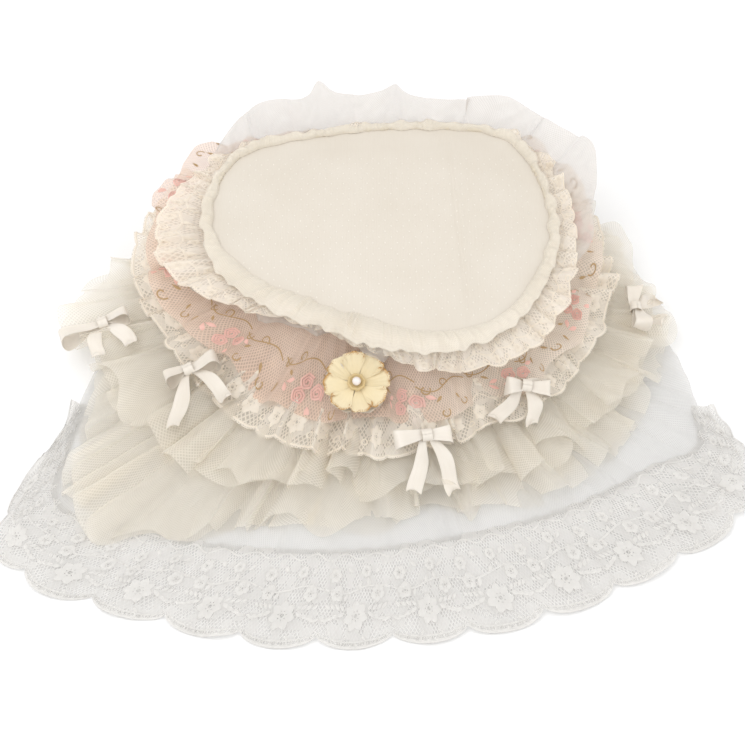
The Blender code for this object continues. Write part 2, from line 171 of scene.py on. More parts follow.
@dataclass(frozen=True)
class Cloth:
    """A textile finish: its colours, its ground of threads and how much it lets through.

    Attributes:
        name: Material name.
        light: Colour of the raised threads, sRGB hex.
        deep: Colour in the thin places and hollows, where it is painted shade, and in the dark blotches,
            sRGB hex.
        ground: The thread pattern.
        cell: Size of one cell or thread of the pattern as drawn, in metres.
        cover: Share of light that the sheer places stop; 1 is opaque.
        thick: Share that the threads or dense places stop.
        through: Share of the shading that is light passing through from behind.
        roughness: Of the surface.
        sheen: Soft edge light of loose fibres.
        bump: Depth of the pattern, in metres.
        ombre: Colour that the dye pales to towards +X, and the places where that starts and ends.
    """

    name: str
    light: str
    deep: str
    ground: Ground = Ground.NET
    cell: float = 0.002
    cover: float = 1.0
    thick: float = 1.0
    through: float = 0.3
    roughness: float = 0.85
    sheen: float = 0.2
    bump: float = 0.0002
    ombre: tuple[str, float, float] | None = None

    def material(self) -> bpy.types.Material:
        """Build the material, or give the one that was built before.

        Returns:
            The material.
        """
        found = bpy.data.materials.get(self.name)
        if found:
            return found
        made, tree = blank_material(self.name)
        uv = add(tree, "ShaderNodeUVMap", uv_map=UV).outputs[0]
        solid = add(tree, "ShaderNodeTexCoord").outputs["Object"]
        threads = self._threads(tree, uv, solid)
        cloudy = noise(tree, solid, BLOTCHES, 4.0)
        tone = maths(tree, "MULTIPLY_ADD", cloudy, BLOTCH_TONE, TONE_START)
        # Painted shade: the hollows between threads are coloured towards the deep colour, the raised
        # threads towards the light one.
        tone = maths(tree, "MULTIPLY_ADD", threads, THREAD_TONE_AND_SHADE, tone)
        colour = blend(tree, tone, self.deep, self.light)
        if self.ombre:
            pale, start, end = self.ombre
            right = add(tree, "ShaderNodeSeparateXYZ", {0: solid}).outputs[0]
            share = add(tree, "ShaderNodeMapRange", {0: right, 1: start, 2: end, 4: DYE_MOST}).outputs[0]
            colour = blend(tree, share, colour, pale)
        bump = add(
            tree, "ShaderNodeBump", {"Height": threads, "Distance": self.bump, "Strength": 0.6},
        ).outputs[0]
        rough = maths(tree, "MULTIPLY_ADD", threads, THREAD_SHINE, self.roughness)
        front = add(
            tree, "ShaderNodeBsdfPrincipled",
            {"Base Color": colour, "Roughness": rough, "Normal": bump, "Sheen Weight": self.sheen,
             "Sheen Roughness": 0.4, "Specular IOR Level": 0.3,
             "Anisotropic": 0.6 if self.ground is Ground.SATIN else 0.0},
        ).outputs[0]
        shade = front
        if self.through:
            back = add(tree, "ShaderNodeBsdfTranslucent", {"Color": colour, "Normal": bump}).outputs[0]
            shade = add(tree, "ShaderNodeMixShader", {0: self.through, 1: front, 2: back}).outputs[0]
        if self.cover < 1:
            veil = maths(tree, "MULTIPLY_ADD", threads, self.thick - self.cover, self.cover)
            uneven = maths(tree, "MULTIPLY_ADD", cloudy, VEIL_VARY, -VEIL_VARY / 2)
            veil = maths(tree, "MAXIMUM", maths(tree, "ADD", veil, uneven), VEIL_LEAST)
            veil = maths(tree, "MINIMUM", veil, 1.0)
            clear = add(tree, "ShaderNodeBsdfTransparent").outputs[0]
            shade = add(tree, "ShaderNodeMixShader", {0: veil, 1: clear, 2: shade}).outputs[0]
        add(tree, "ShaderNodeOutputMaterial", {0: shade})
        return made

    def _threads(self, tree: bpy.types.NodeTree, uv: bpy.types.NodeSocket,
                 solid: bpy.types.NodeSocket) -> bpy.types.NodeSocket:
        """Draw the thread pattern.

        Args:
            tree: The material's tree.
            uv: Places on the flat cloth, in metres.
            solid: Places in space, in metres.

        Returns:
            Its height, 0 between the threads and 1 on them.
        """
        split = add(tree, "ShaderNodeSeparateXYZ", {0: uv})
        u, v = split.outputs[0], split.outputs[1]
        turn = math.pi / self.cell

        def ridges(run: bpy.types.NodeSocket, rise: bpy.types.NodeSocket | None = None,
                   slant: float = 0.0) -> bpy.types.NodeSocket:
            """Draw parallel round threads.

            Args:
                run: The way across them.
                rise: The way that they slant along, if they do.
                slant: How much they slant.

            Returns:
                Their height.
            """
            across = maths(tree, "MULTIPLY", run, turn)
            if rise:
                across = maths(tree, "MULTIPLY_ADD", rise, slant * turn, across)
            return maths(tree, "ABSOLUTE", maths(tree, "COSINE", across))

        if self.ground is Ground.WOVEN:
            slub = noise(tree, add(tree, "ShaderNodeMapping", {0: uv, 3: SLUBS}).outputs[0], 1.0)
            weave = maths(tree, "MULTIPLY", ridges(u), ridges(v))
            return maths(tree, "MULTIPLY_ADD", slub, 0.8, maths(tree, "MULTIPLY", weave, 0.35))
        if self.ground is Ground.SATIN:
            return noise(tree, add(tree, "ShaderNodeMapping", {0: uv, 3: FLOATS}).outputs[0], 1.0)
        if self.ground is Ground.PLAIN:
            return noise(tree, solid, 1 / self.cell, 3.0)
        net = maths(tree, "MAXIMUM", ridges(u, v, NET_SLANT), ridges(u, v, -NET_SLANT))
        net = maths(tree, "POWER", net, NET_THINNESS)
        if self.ground is Ground.LACE:
            wide = add(
                tree, "ShaderNodeTexVoronoi", {"Vector": uv, "Scale": 1 / (self.cell * SPRIG_PITCH)},
                voronoi_dimensions="2D", feature="SMOOTH_F1",
            ).outputs[0]
            sprig = maths(tree, "LESS_THAN", wide, SPRIG_SIZE)
            return maths(tree, "MAXIMUM", net, maths(tree, "MULTIPLY", sprig, 0.8))
        return net


# Swiss-dot cotton, plain woven: matt, a faint upright slub; the weave is drawn 3 threads as one.
PAD_COTTON = Cloth("pad_cotton_woven", "#DDD6CB", "#D2C9BB", Ground.WOVEN, 0.0011, through=0.0,
                   bump=0.00012, sheen=0.1)
DOT_COTTON = Cloth("swiss_dot_cotton_tufted", "#EAE4DA", "#E0D9CC", Ground.PLAIN, 0.0006, through=0.0)
# Gathered net binding: matt, with a deeper, yellower colour in the hollows between its threads, which is
# painted shade, and in random blotches.
BINDING_NET = Cloth("binding_net_gathered", "#EFE7D7", "#E6DBC6", Ground.NET, 0.0018, through=0.2)
HEADING_NET = Cloth("heading_net_gathered", "#F7F0E4", "#EFE6D5", Ground.NET, 0.0013, 0.84, 0.95, 0.2)
# Raschel lace, knitted: a net ground about a millimetre wide, drawn twice as coarse, with denser figures.
COLLAR_LACE = Cloth("collar_lace_raschel", "#FFF9EF", "#F8EFE1", Ground.LACE, 0.0020, 0.68, 0.94, 0.35)
NARROW_LACE = Cloth("narrow_lace_raschel", "#FAF4EA", "#F2E8DA", Ground.LACE, 0.0021, 0.50, 0.90, 0.35)
TRAIN_LACE = Cloth("train_lace_raschel", "#ECEAE7", "#DFDDD9", Ground.LACE, 0.0024, 0.42, 0.86, 0.35)
# Twisted thread worked over the lace ground: opaque, so the figures stand out of the net.
LACE_THREAD = Cloth("lace_figure_thread", "#FCF6EB", "#F4EADB", Ground.PLAIN, 0.0008, bump=0.0003)
TRAIN_THREAD = Cloth("train_figure_thread", "#F3F1EE", "#E8E6E2", Ground.PLAIN, 0.0008, bump=0.0003)
# Organza, woven of fine twisted filament: sheer with a slight silky edge; several threads drawn as one.
ORGANZA = Cloth("organza_woven_sheer", "#ECE7E2", "#E2DBD4", Ground.NET, 0.0009, 0.56, 0.66, 0.4, 0.55, 0.5)
# Soft tulle, knitted hexagon net about a millimetre wide: sheer alone, cream where layers lie together.
CREAM_TULLE = Cloth("cream_tulle_knitted", "#FFFCF5", "#FAF4E9", Ground.NET, 0.0011, 0.48, 0.61, 0.55)
# The same net dyed pink, paler to the right; drawn about twice as coarse.
PINK_TULLE = Cloth("pink_tulle_knitted", "#FAE8DC", "#F1D5C3", Ground.NET, 0.0018, 0.52, 0.80, 0.5,
                   ombre=("#FDF4EA", 0.01, 0.07))
# Greyish white net of the train: the palest layer, which the floor shows through.
TRAIN_TULLE = Cloth("train_tulle_knitted", "#E2E1DF", "#D8D6D3", Ground.NET, 0.0012, 0.44, 0.56, 0.4)
# Embroidery thread, satin stitched: raised, with a soft shine.
ROSE_THREAD = Cloth("rose_embroidery_thread", "#F4D2C8", "#E6B1A3", Ground.PLAIN, 0.0007, through=0.1,
                    roughness=0.55, bump=0.0004)
GOLD_THREAD = Cloth("gold_brown_embroidery_thread", "#C4A780", "#AB8A5E", Ground.PLAIN, 0.0007,
                    through=0.1, roughness=0.5, bump=0.0004)
# Satin ribbon, woven with long floats: a bright sheen along the ribbon.
SATIN = Cloth("satin_ribbon_woven", "#FAF5ED", "#E6DCCD", Ground.SATIN, 0.001, through=0.15,
              roughness=0.30, sheen=0.4, bump=0.00003)
# Pressed felt: matt and fluffy, with no threads to be seen.
FELT = Cloth("felt_backing_pressed", "#DFD6C4", "#CFC4AE", Ground.PLAIN, 0.0009, through=0.0,
             roughness=0.95)
# Stiffened satin, cut and pressed to shape with a hot iron: smooth, with a low sheen.
PETAL_IVORY = Cloth("petal_ivory_pressed", "#F2ECE2", "#E6DCCD", Ground.SATIN, 0.001, through=0.25,
                    roughness=0.5)
PETAL_CUP = Cloth("petal_cup_rolled", "#E1CD9F", "#CFB27A", Ground.SATIN, 0.001, through=0.1,
                  roughness=0.55)


@dataclass(frozen=True)
class GiltPetal:
    """Pale yellow pressed satin whose edge is dusted with gold glitter: soft, with sparkling rims."""

    name: str = "petal_yellow_gilt_edge"
    cloth: str = "#E9DBB9"
    root: str = "#E2D0A6"
    gilt: str = "#B98A4A"
    grains: float = 1400.0
    patches: float = 90.0
    rim: tuple[float, float] = (0.86, 0.97)
    dusted: tuple[float, float] = (0.86, 1.08)

    def material(self) -> bpy.types.Material:
        """Build the material; the UV map's second number is 0 at a petal's root and 1 at its rim.

        Returns:
            The material.
        """
        made, tree = blank_material(self.name)
        uv = add(tree, "ShaderNodeUVMap", uv_map=UV).outputs[0]
        out = add(tree, "ShaderNodeSeparateXYZ", {0: uv}).outputs[1]
        solid = add(tree, "ShaderNodeTexCoord").outputs["Object"]
        grain = noise(tree, solid, self.grains)
        spread = maths(tree, "ADD", grain, noise(tree, solid, self.patches))
        near, full = self.rim
        few, many = self.dusted
        edge = add(tree, "ShaderNodeMapRange", {0: out, 1: near, 2: full}).outputs[0]
        speck = add(tree, "ShaderNodeMapRange", {0: spread, 1: few, 2: many}).outputs[0]
        dust = maths(tree, "MULTIPLY", edge, speck)
        colour = blend(tree, dust, blend(tree, out, self.root, self.cloth), self.gilt)
        bump = add(
            tree, "ShaderNodeBump", {"Height": grain, "Distance": 0.0003, "Strength": dust},
        ).outputs[0]
        front = add(
            tree, "ShaderNodeBsdfPrincipled",
            {"Base Color": colour, "Metallic": maths(tree, "MULTIPLY", dust, 0.6), "Normal": bump,
             "Roughness": maths(tree, "MULTIPLY_ADD", dust, -0.2, 0.6), "Sheen Weight": 0.3},
        ).outputs[0]
        add(tree, "ShaderNodeOutputMaterial", {0: front})
        return made


@dataclass(frozen=True)
class PearlBead:
    """Moulded plastic pearl: white body under a clear nacre coat, so a tight bright highlight."""

    name: str = "pearl_bead_coated"
    body: str = "#F1ECE6"
    cloud: str = "#E6DAD6"
    clouds: float = 260.0

    def material(self) -> bpy.types.Material:
        """Build the material.

        Returns:
            The material.
        """
        made = bpy.data.materials.new(self.name)
        made.use_nodes = True
        tree = made.node_tree
        shader = tree.nodes["Principled BSDF"]
        solid = add(tree, "ShaderNodeTexCoord").outputs["Object"]
        colour = blend(tree, noise(tree, solid, self.clouds), self.body, self.cloud)
        tree.links.new(colour, shader.inputs["Base Color"])
        for socket, value in (("Roughness", 0.28), ("Coat Weight", 0.8), ("Coat Roughness", 0.08),
                              ("Coat IOR", 1.55)):
            shader.inputs[socket].default_value = value
        return made


Finish = Cloth | GiltPetal | PearlBead


# ------------------------------------------------------------------ shapes


def mesh_piece(name: str, points: Points, faces: Sequence, uv: Points | None,
               finish: Finish) -> bpy.types.Object:
    """Make a smooth mesh object at the origin.

    Args:
        name: The piece's name.
        points: (n, 3) places.
        faces: Corner indices of each face.
        uv: (number of corners, 2) UV map in metres, corner by corner, or None.
        finish: The finish that dresses it.

    Returns:
        The new object, linked to the scene.
    """
    mesh = bpy.data.meshes.new(name)
    mesh.from_pydata([tuple(p) for p in points], [], [tuple(int(i) for i in f) for f in faces])
    if uv is not None:
        layer = mesh.uv_layers.new(name=UV)
        layer.data.foreach_set("uv", np.asarray(uv, np.float32).ravel())
    mesh.polygons.foreach_set("use_smooth", [True] * len(mesh.polygons))
    mesh.materials.append(finish.material())
    mesh.update()
    piece = bpy.data.objects.new(name, mesh)
    bpy.context.scene.collection.objects.link(piece)
    return piece


def soften(piece: bpy.types.Object, thickness: float = 0.0) -> None:
    """Give a piece a thickness, half of it to each side, and round it off.

    Args:
        piece: The piece.
        thickness: How thick its cloth is; 0 leaves it as it is.
    """
    if thickness:
        wall = piece.modifiers.new("cloth", "SOLIDIFY")
        wall.thickness, wall.offset = thickness, 0.0
    smooth = piece.modifiers.new("smooth", "SUBSURF")
    smooth.levels = smooth.render_levels = 1


def patch_quads(columns: int, rows: int) -> list[list[tuple[int, int]]]:
    """Corners, by column and row, of every quad of a patch."""
    return [[(i, j), (i, j + 1), (i + 1, j + 1), (i + 1, j)]
            for i in range(columns - 1) for j in range(rows - 1)]


def ray_tree(mesh: bpy.types.Mesh) -> BVHTree:
    """Search tree of a mesh, for rays."""
    return BVHTree.FromPolygons([v.co for v in mesh.vertices], [tuple(f.vertices) for f in mesh.polygons])


def grid_piece(name: str, grid: Points, uv: Points, closed: bool, finish: Finish) -> bpy.types.Object:
    """Skin a grid of points with quads that face up.

    Args:
        name: The piece's name.
        grid: (columns, rows, 3) places; columns run round the object, rows from seam to hem.
        uv: (columns + 1 if closed else columns, rows, 2) UV map.
        closed: True if the last column joins the first.
        finish: The finish that dresses it.

    Returns:
        The new object.
    """
    columns, rows = grid.shape[:2]
    i = np.arange(columns if closed else columns - 1)[:, None]
    j = np.arange(rows - 1)[None, :]
    after = (i + 1) % columns

    def corner(column: Points, row: Points, width: int) -> Points:
        """Index of each corner in a table that is so many rows wide."""
        return (column * width + row).ravel()

    faces = np.stack([corner(i, j, rows), corner(i, j + 1, rows),
                      corner(after, j + 1, rows), corner(after, j, rows)], axis=1)
    flat = uv.reshape(-1, 2)
    corners = np.stack([corner(i, j, rows), corner(i, j + 1, rows),
                        corner(i + 1, j + 1, rows), corner(i + 1, j, rows)], axis=1)
    return mesh_piece(name, grid.reshape(-1, 3), faces, flat[corners.ravel()], finish)


def unit(vectors: Points) -> Points:
    """Scale vectors to a length of one."""
    return vectors / np.maximum(np.linalg.norm(vectors, axis=-1, keepdims=True), 1e-12)


def ring_waves(seed: int, count: float, spread: float, terms: int = 5) -> Callable[[Points], Points]:
    """Uneven folds round a strip.

    Args:
        seed: For the random draw.
        count: How many folds there are, about.
        spread: How much their lengths differ, as a share.
        terms: How many waves are summed.

    Returns:
        A function of the place round the strip, 0 to 1, that gives values of about -1 to 1.
    """
    rng = np.random.default_rng(seed)
    turns = np.maximum(np.rint(count * (1 + spread * rng.uniform(-1, 1, terms))), 1)
    phases = rng.uniform(0, 1, terms)
    weights = rng.uniform(0.5, 1, terms)
    weights /= np.sqrt((weights**2).sum())

    def wave(place: Points) -> Points:
        """Height of the folds at each place."""
        angle = 2 * np.pi * (place[..., None] * turns + phases)
        return (weights * np.sin(angle)).sum(-1)

    return wave


def by_spoke(node: str) -> tuple[Points, Points, Points]:
    """Sort the corners of a CAD node by plan angle.

    Args:
        node: The node's name.

    Returns:
        The corners, their distance from the pad's axis, and the number of the spoke nearest to each.
    """
    points = np.array([v.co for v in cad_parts[node].data.vertices])
    turn = np.degrees(np.arctan2(points[:, 1], points[:, 0])) % 360
    return points, np.hypot(points[:, 0], points[:, 1]), np.rint(turn / SPOKE).astype(int) % SPOKES


def smooth_round(values: Points, along: Points, closed: bool) -> Points:
    """Read a smooth curve through values that stand one to a spoke.

    Args:
        values: The values of each spoke.
        along: Where to read, counted in spokes.
        closed: True if the last spoke joins the first.

    Returns:
        The values at each place.
    """
    count = len(values)
    first = np.floor(along).astype(int)
    s = (along - first).reshape(-1, *[1] * (values.ndim - 1))

    def spoke(offset: int) -> Points:
        """Values of the spoke that is so many on from each place."""
        return values[(first + offset) % count if closed else np.clip(first + offset, 0, count - 1)]

    a, b, c, d = (spoke(k) for k in (-1, 0, 1, 2))
    return b + 0.5 * s * (c - a + s * (2 * a - 5 * b + 4 * c - d + s * (3 * (b - c) + d - a)))


@dataclass
class Fall:
    """The fall of a strip from seam to hem, read off its CAD ring.

    Attributes:
        node: The CAD ring.
        rows: How many points are kept from seam to hem.
        start: Plan angle of the first spoke.
        end: Plan angle where the strip ends.
        rings: (spokes, rows, 2) distance from the pad's axis and height.
        closed: True if the ring goes right round.
    """

    node: str
    rows: int = 13
    start: float = field(init=False)
    end: float = field(init=False)
    rings: Points = field(init=False)
    closed: bool = field(init=False)

    def __post_init__(self) -> None:
        """Read the ring's upper side on every spoke."""
        tree = ray_tree(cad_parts[self.node].data)
        points, reach, near = by_spoke(self.node)
        used = sorted(set(near.tolist()))
        profiles = []
        for spoke in used:
            own = np.flatnonzero(near == spoke)
            seam, hem = own[reach[own].argmin()], own[reach[own].argmax()]
            way = Vector((math.cos(math.radians(spoke * SPOKE)), math.sin(math.radians(spoke * SPOKE)), 0))
            line = [(reach[seam], points[seam, 2])]
            for share in np.linspace(0.06, 0.96, 14):
                out = reach[seam] + (reach[hem] - reach[seam]) * share
                found = tree.ray_cast(way * out + OVERHEAD, DOWN)[0]
                if found:
                    line.append((out, found.z))
            line.append((reach[hem], points[hem, 2]))
            profiles.append(self._even(np.array(line)))
        self.rings = np.array(profiles)
        self.closed = len(used) == SPOKES
        self.start = used[0] * SPOKE
        self.end = self.start + (360 if self.closed else SPOKE * (len(used) - 1))

    def _even(self, line: Points) -> Points:
        """Space the points of a line evenly."""
        steps = np.r_[0, np.cumsum(np.linalg.norm(np.diff(line, axis=0), axis=1))]
        at = np.linspace(0, steps[-1], self.rows)
        return np.stack([np.interp(at, steps, line[:, k]) for k in (0, 1)], axis=1)

    def at(self, angles: Points, shares: Points) -> Points:
        """Places on the ring.

        Args:
            angles: (n) plan angles.
            shares: (m) shares of the way from seam to hem.

        Returns:
            (n, m, 3) places.
        """
        turned = (angles - self.start) % 360 if self.closed else angles - self.start
        curve = smooth_round(self.rings, turned / SPOKE, self.closed)
        down = shares * (self.rows - 1)
        low = np.clip(down.astype(int), 0, self.rows - 2)
        part = (down - low)[None, :, None]
        flat = curve[:, low] * (1 - part) + curve[:, low + 1] * part
        turn = np.radians(angles)[:, None]
        return np.stack([flat[..., 0] * np.cos(turn), flat[..., 0] * np.sin(turn), flat[..., 1]], axis=-1)

    def hem(self, count: int) -> tuple[Points, Points]:
        """Measure along the hem.

        Args:
            count: At how many places.

        Returns:
            Their plan angles, and the way from the first place to each.
        """
        angles = np.linspace(self.start, self.end, count)
        line = self.at(angles, np.array([1.0]))[:, 0]
        return angles, np.r_[0, np.cumsum(np.linalg.norm(np.diff(line, axis=0), axis=1))]


# ------------------------------------------------------------------ lace patterns and embroidery


class FlatPattern:
    """One repeat of a lace pattern or embroidery, drawn flat: x along the strip, y from its seam."""

    def __init__(self) -> None:
        """Start with nothing drawn."""
        self.points: list[tuple[float, float, float]] = []
        self.faces: list[tuple[int, ...]] = []

    def cord(self, path: Iterable[tuple[float, float]], width: float, rise: float = 0.0004,
             closed: bool = False) -> None:
        """Draw a raised thread along a path.

        Args:
            path: Places on its middle line.
            width: Its width.
            rise: How far its middle stands up.
            closed: True if its ends join.
        """
        line = np.array(list(path), float)
        if closed:
            along = np.roll(line, -1, 0) - np.roll(line, 1, 0)
        else:
            along = np.gradient(line, axis=0)
        side = unit(np.stack([-along[:, 1], along[:, 0]], axis=1)) * width / 2
        base = len(self.points)
        for middle, off in zip(line, side):
            self.points += [(*(middle + off), 0.0), (*middle, rise), (*(middle - off), 0.0)]
        for i in range(len(line) if closed else len(line) - 1):
            a, b = base + 3 * i, base + 3 * ((i + 1) % len(line))
            self.faces += [(a, b, b + 1, a + 1), (a + 1, b + 1, b + 2, a + 2)]

    def petal(self, x: float, y: float, length: float, width: float, heading: float,
              rise: float = 0.0005) -> None:
        """Draw a filled petal or leaf.

        Args:
            x: Its root's place along the strip.
            y: Its root's place from the seam.
            length: Its length.
            width: Its greatest width.
            heading: The way that it points, in degrees.
            rise: How far its middle stands up.
        """
        turn = math.radians(heading)
        way = np.array([math.cos(turn), math.sin(turn)])
        side = np.array([-way[1], way[0]])
        root = np.array([x, y])
        shares = np.linspace(0, 1, 6)
        halves = width / 2 * np.sin(np.pi * shares**0.8)
        base = len(self.points)
        for share, half in zip(shares, halves):
            middle, off = root + way * length * share, side * half
            self.points += [(*(middle + off), 0.0), (*middle, rise * (half > 0)), (*(middle - off), 0.0)]
        for i in range(len(shares) - 1):
            a, b = base + 3 * i, base + 3 * i + 3
            self.faces += [(a, b, b + 1, a + 1), (a + 1, b + 1, b + 2, a + 2)]

    def blossom(self, x: float, y: float, radius: float, petals: int, turn: float = 0.0) -> None:
        """Draw an open flower with an eye.

        Args:
            x: Its place along the strip.
            y: Its place from the seam.
            radius: Its radius.
            petals: How many petals it has.
            turn: Where the first one points, in degrees.
        """
        for k in range(petals):
            heading = turn + 360 * k / petals
            self.petal(x + radius * 0.22 * math.cos(math.radians(heading)),
                       y + radius * 0.22 * math.sin(math.radians(heading)),
                       radius * 0.8, radius * 4.4 / petals, heading)
        self.eyelet(x, y, radius * 0.2, radius * 0.14)

    def eyelet(self, x: float, y: float, radius: float, width: float) -> None:
        """Draw a worked ring."""
        turns = np.linspace(0, 2 * np.pi, 12, endpoint=False)
        self.cord(zip(x + radius * np.cos(turns), y + radius * np.sin(turns)), width, closed=True)

    def rose(self, x: float, y: float, radius: float, turn: float) -> None:
        """Draw a rolled rose, a spiral of thick thread.

        Args:
            x: Its place along the strip.
            y: Its place from the seam.
            radius: Its radius.
            turn: Where the spiral starts, in radians.
        """
        turns = np.linspace(0, 2.6 * 2 * np.pi, 40)
        reach = radius * (0.12 + 0.8 * turns / turns[-1]) * (1 + 0.08 * np.cos(5 * turns))
        self.cord(zip(x + reach * np.cos(turns + turn), y + reach * np.sin(turns + turn)),
                  radius * 0.26, 0.0011)

    def vine(self, x0: float, x1: float, y: float, swing: float, width: float) -> None:
        """Draw a stem that waves once along the strip, from x0 to x1."""
        xs = np.linspace(x0, x1, max(int((x1 - x0) / 0.0015), 8))
        self.cord(zip(xs, y + swing * np.sin(2 * np.pi * (xs - x0) / (x1 - x0))), width)

    def curl(self, x: float, y: float, radius: float, heading: float, hand: int, width: float) -> None:
        """Draw a scroll that winds up.

        Args:
            x: Its root's place along the strip.
            y: Its root's place from the seam.
            radius: The scroll's radius.
            heading: The way that it starts, in degrees.
            hand: 1 if it winds to the left, -1 if to the right.
            width: The thread's width.
        """
        turns = np.linspace(0, 1.6 * np.pi, 16)
        reach = radius * (1 - 0.62 * turns / turns[-1])
        start = math.radians(heading) - hand * np.pi / 2
        cx, cy = x - radius * math.cos(start), y - radius * math.sin(start)
        bend = start + hand * turns
        self.cord(zip(cx + reach * np.cos(bend), cy + reach * np.sin(bend)), width)


def laying_tree() -> bpy.types.NodeTree:
    """Geometry Nodes that repeat a flat pattern along a strip and lay it on the cloth.

    Returns:
        The node group.
    """
    tree = bpy.data.node_groups.new(LAYING, "GeometryNodeTree")
    for name, kind in (("Pattern", "Geometry"), ("Cloth", "Object"), ("Repeats", "Int"),
                       ("Pitch", "Float"), ("Start", "Float"), ("Lift", "Float"), ("Finish", "Material")):
        tree.interface.new_socket(name, in_out="INPUT", socket_type=f"NodeSocket{kind}")
    tree.interface.new_socket("Pattern", in_out="OUTPUT", socket_type="NodeSocketGeometry")
    given = add(tree, "NodeGroupInput").outputs
    offset = add(tree, "ShaderNodeCombineXYZ", {0: given["Pitch"]}).outputs[0]
    start = add(tree, "ShaderNodeCombineXYZ", {0: given["Start"]}).outputs[0]
    line = add(
        tree, "GeometryNodeMeshLine",
        {"Count": given["Repeats"], "Start Location": start, "Offset": offset}, mode="OFFSET",
    ).outputs[0]
    copies = add(
        tree, "GeometryNodeInstanceOnPoints", {"Points": line, "Instance": given["Pattern"]},
    ).outputs[0]
    flat = add(tree, "GeometryNodeRealizeInstances", {0: copies}).outputs[0]
    cloth = add(tree, "GeometryNodeObjectInfo", {"Object": given["Cloth"]}).outputs["Geometry"]
    worn = add(tree, "GeometryNodeInputNamedAttribute", {"Name": UV}, data_type="FLOAT_VECTOR").outputs[0]
    here = add(tree, "GeometryNodeInputPosition").outputs[0]

    def sampled(value: bpy.types.NodeSocket) -> bpy.types.Node:
        """Read the cloth where a place of the flat pattern comes to lie on it.

        Args:
            value: What is read.

        Returns:
            The node that reads it.
        """
        return add(
            tree, "GeometryNodeSampleUVSurface",
            {"Mesh": cloth, "Value": value, "Source UV Map": worn, "Sample UV": here},
            data_type="FLOAT_VECTOR",
        )

    place = sampled(add(tree, "GeometryNodeInputPosition").outputs[0])
    normal = sampled(add(tree, "GeometryNodeInputNormal").outputs[0]).outputs[0]
    off = add(tree, "FunctionNodeBooleanMath", {0: place.outputs["Is Valid"]}, operation="NOT").outputs[0]
    kept = add(tree, "GeometryNodeDeleteGeometry", {"Geometry": flat, "Selection": off}).outputs[0]
    rise = maths(tree, "ADD", add(tree, "ShaderNodeSeparateXYZ", {0: here}).outputs[2], given["Lift"])
    raised = add(tree, "ShaderNodeVectorMath", {0: normal, "Scale": rise}, operation="SCALE").outputs[0]
    target = add(tree, "ShaderNodeVectorMath", {0: place.outputs[0], 1: raised}).outputs[0]
    laid = add(tree, "GeometryNodeSetPosition", {"Geometry": kept, "Position": target}).outputs[0]
    whole = add(tree, "GeometryNodeRealizeInstances", {0: laid}).outputs[0]
    dressed = add(
        tree, "GeometryNodeSetMaterial", {"Geometry": whole, "Material": given["Finish"]},
    ).outputs[0]
    add(tree, "NodeGroupOutput", {0: dressed})
    return tree


def lay_pattern(name: str, pattern: FlatPattern, cloth: bpy.types.Object, pitch: float, repeats: int,
                finish: Cloth, start: float = 0.0, lift: float = 0.0002) -> bpy.types.Object:
    """Repeat a flat pattern along a strip and lay it on the cloth as a piece of its own.

    Args:
        name: The piece's name.
        pattern: One repeat.
        cloth: The strip that carries it.
        pitch: Distance between repeats along the strip.
        repeats: How many there are.
        finish: Its thread.
        start: Where the first repeat begins.
        lift: How far the thread lies over the cloth.

    Returns:
        A plain mesh object, which the caller attaches to its body.
    """
    tree = bpy.data.node_groups.get(LAYING) or laying_tree()
    source = mesh_piece(name + "_repeat", np.array(pattern.points), pattern.faces, None, finish)
    modifier = source.modifiers.new("lay", "NODES")
    modifier.node_group = tree
    values = {"Cloth": cloth, "Repeats": repeats, "Pitch": pitch, "Start": start, "Lift": lift,
              "Finish": finish.material()}
    for item in tree.interface.items_tree:
        if item.in_out == "INPUT" and item.name in values:
            modifier[item.identifier] = values[item.name]
    bpy.context.view_layer.update()
    evaluated = source.evaluated_get(bpy.context.evaluated_depsgraph_get())
    mesh = bpy.data.meshes.new_from_object(evaluated)
    piece = bpy.data.objects.new(name, mesh)
    bpy.context.scene.collection.objects.link(piece)
    bpy.data.objects.remove(source)
    mesh.polygons.foreach_set("use_smooth", [True] * len(mesh.polygons))
    if not mesh.materials:
        mesh.materials.append(finish.material())
    return piece


# ------------------------------------------------------------------ the skirt

# At how many places a hem is measured, for its length and for its columns.
HEM_COARSE, HEM_FINE = 721, 4001
# Plan angle and half width of the stretch where the collar is tucked under, at the front left.
TUCKED = (243, 42)
# The same for the narrow pleats of the train, at the front right; then their draw and their height.
TRAIN_PLEATS = (318, 24)
PLEAT_DRAW, PLEAT_RISE = 470, 0.0055
# Cream tulle is the fullest cloth: crumpled, with folds that run sideways and start late.
TULLE_FOLDS = {"crumple": 0.0011, "slant": 0.014, "fade": 1.7}
# Distance between two bunches of embroidered roses.
ROSE_PITCH = 0.078


@dataclass(frozen=True)
class Scallops:
    """A scalloped edge: its pitch along the strip and how deep it is cut in between the scallops."""

    pitch: float
    depth: float


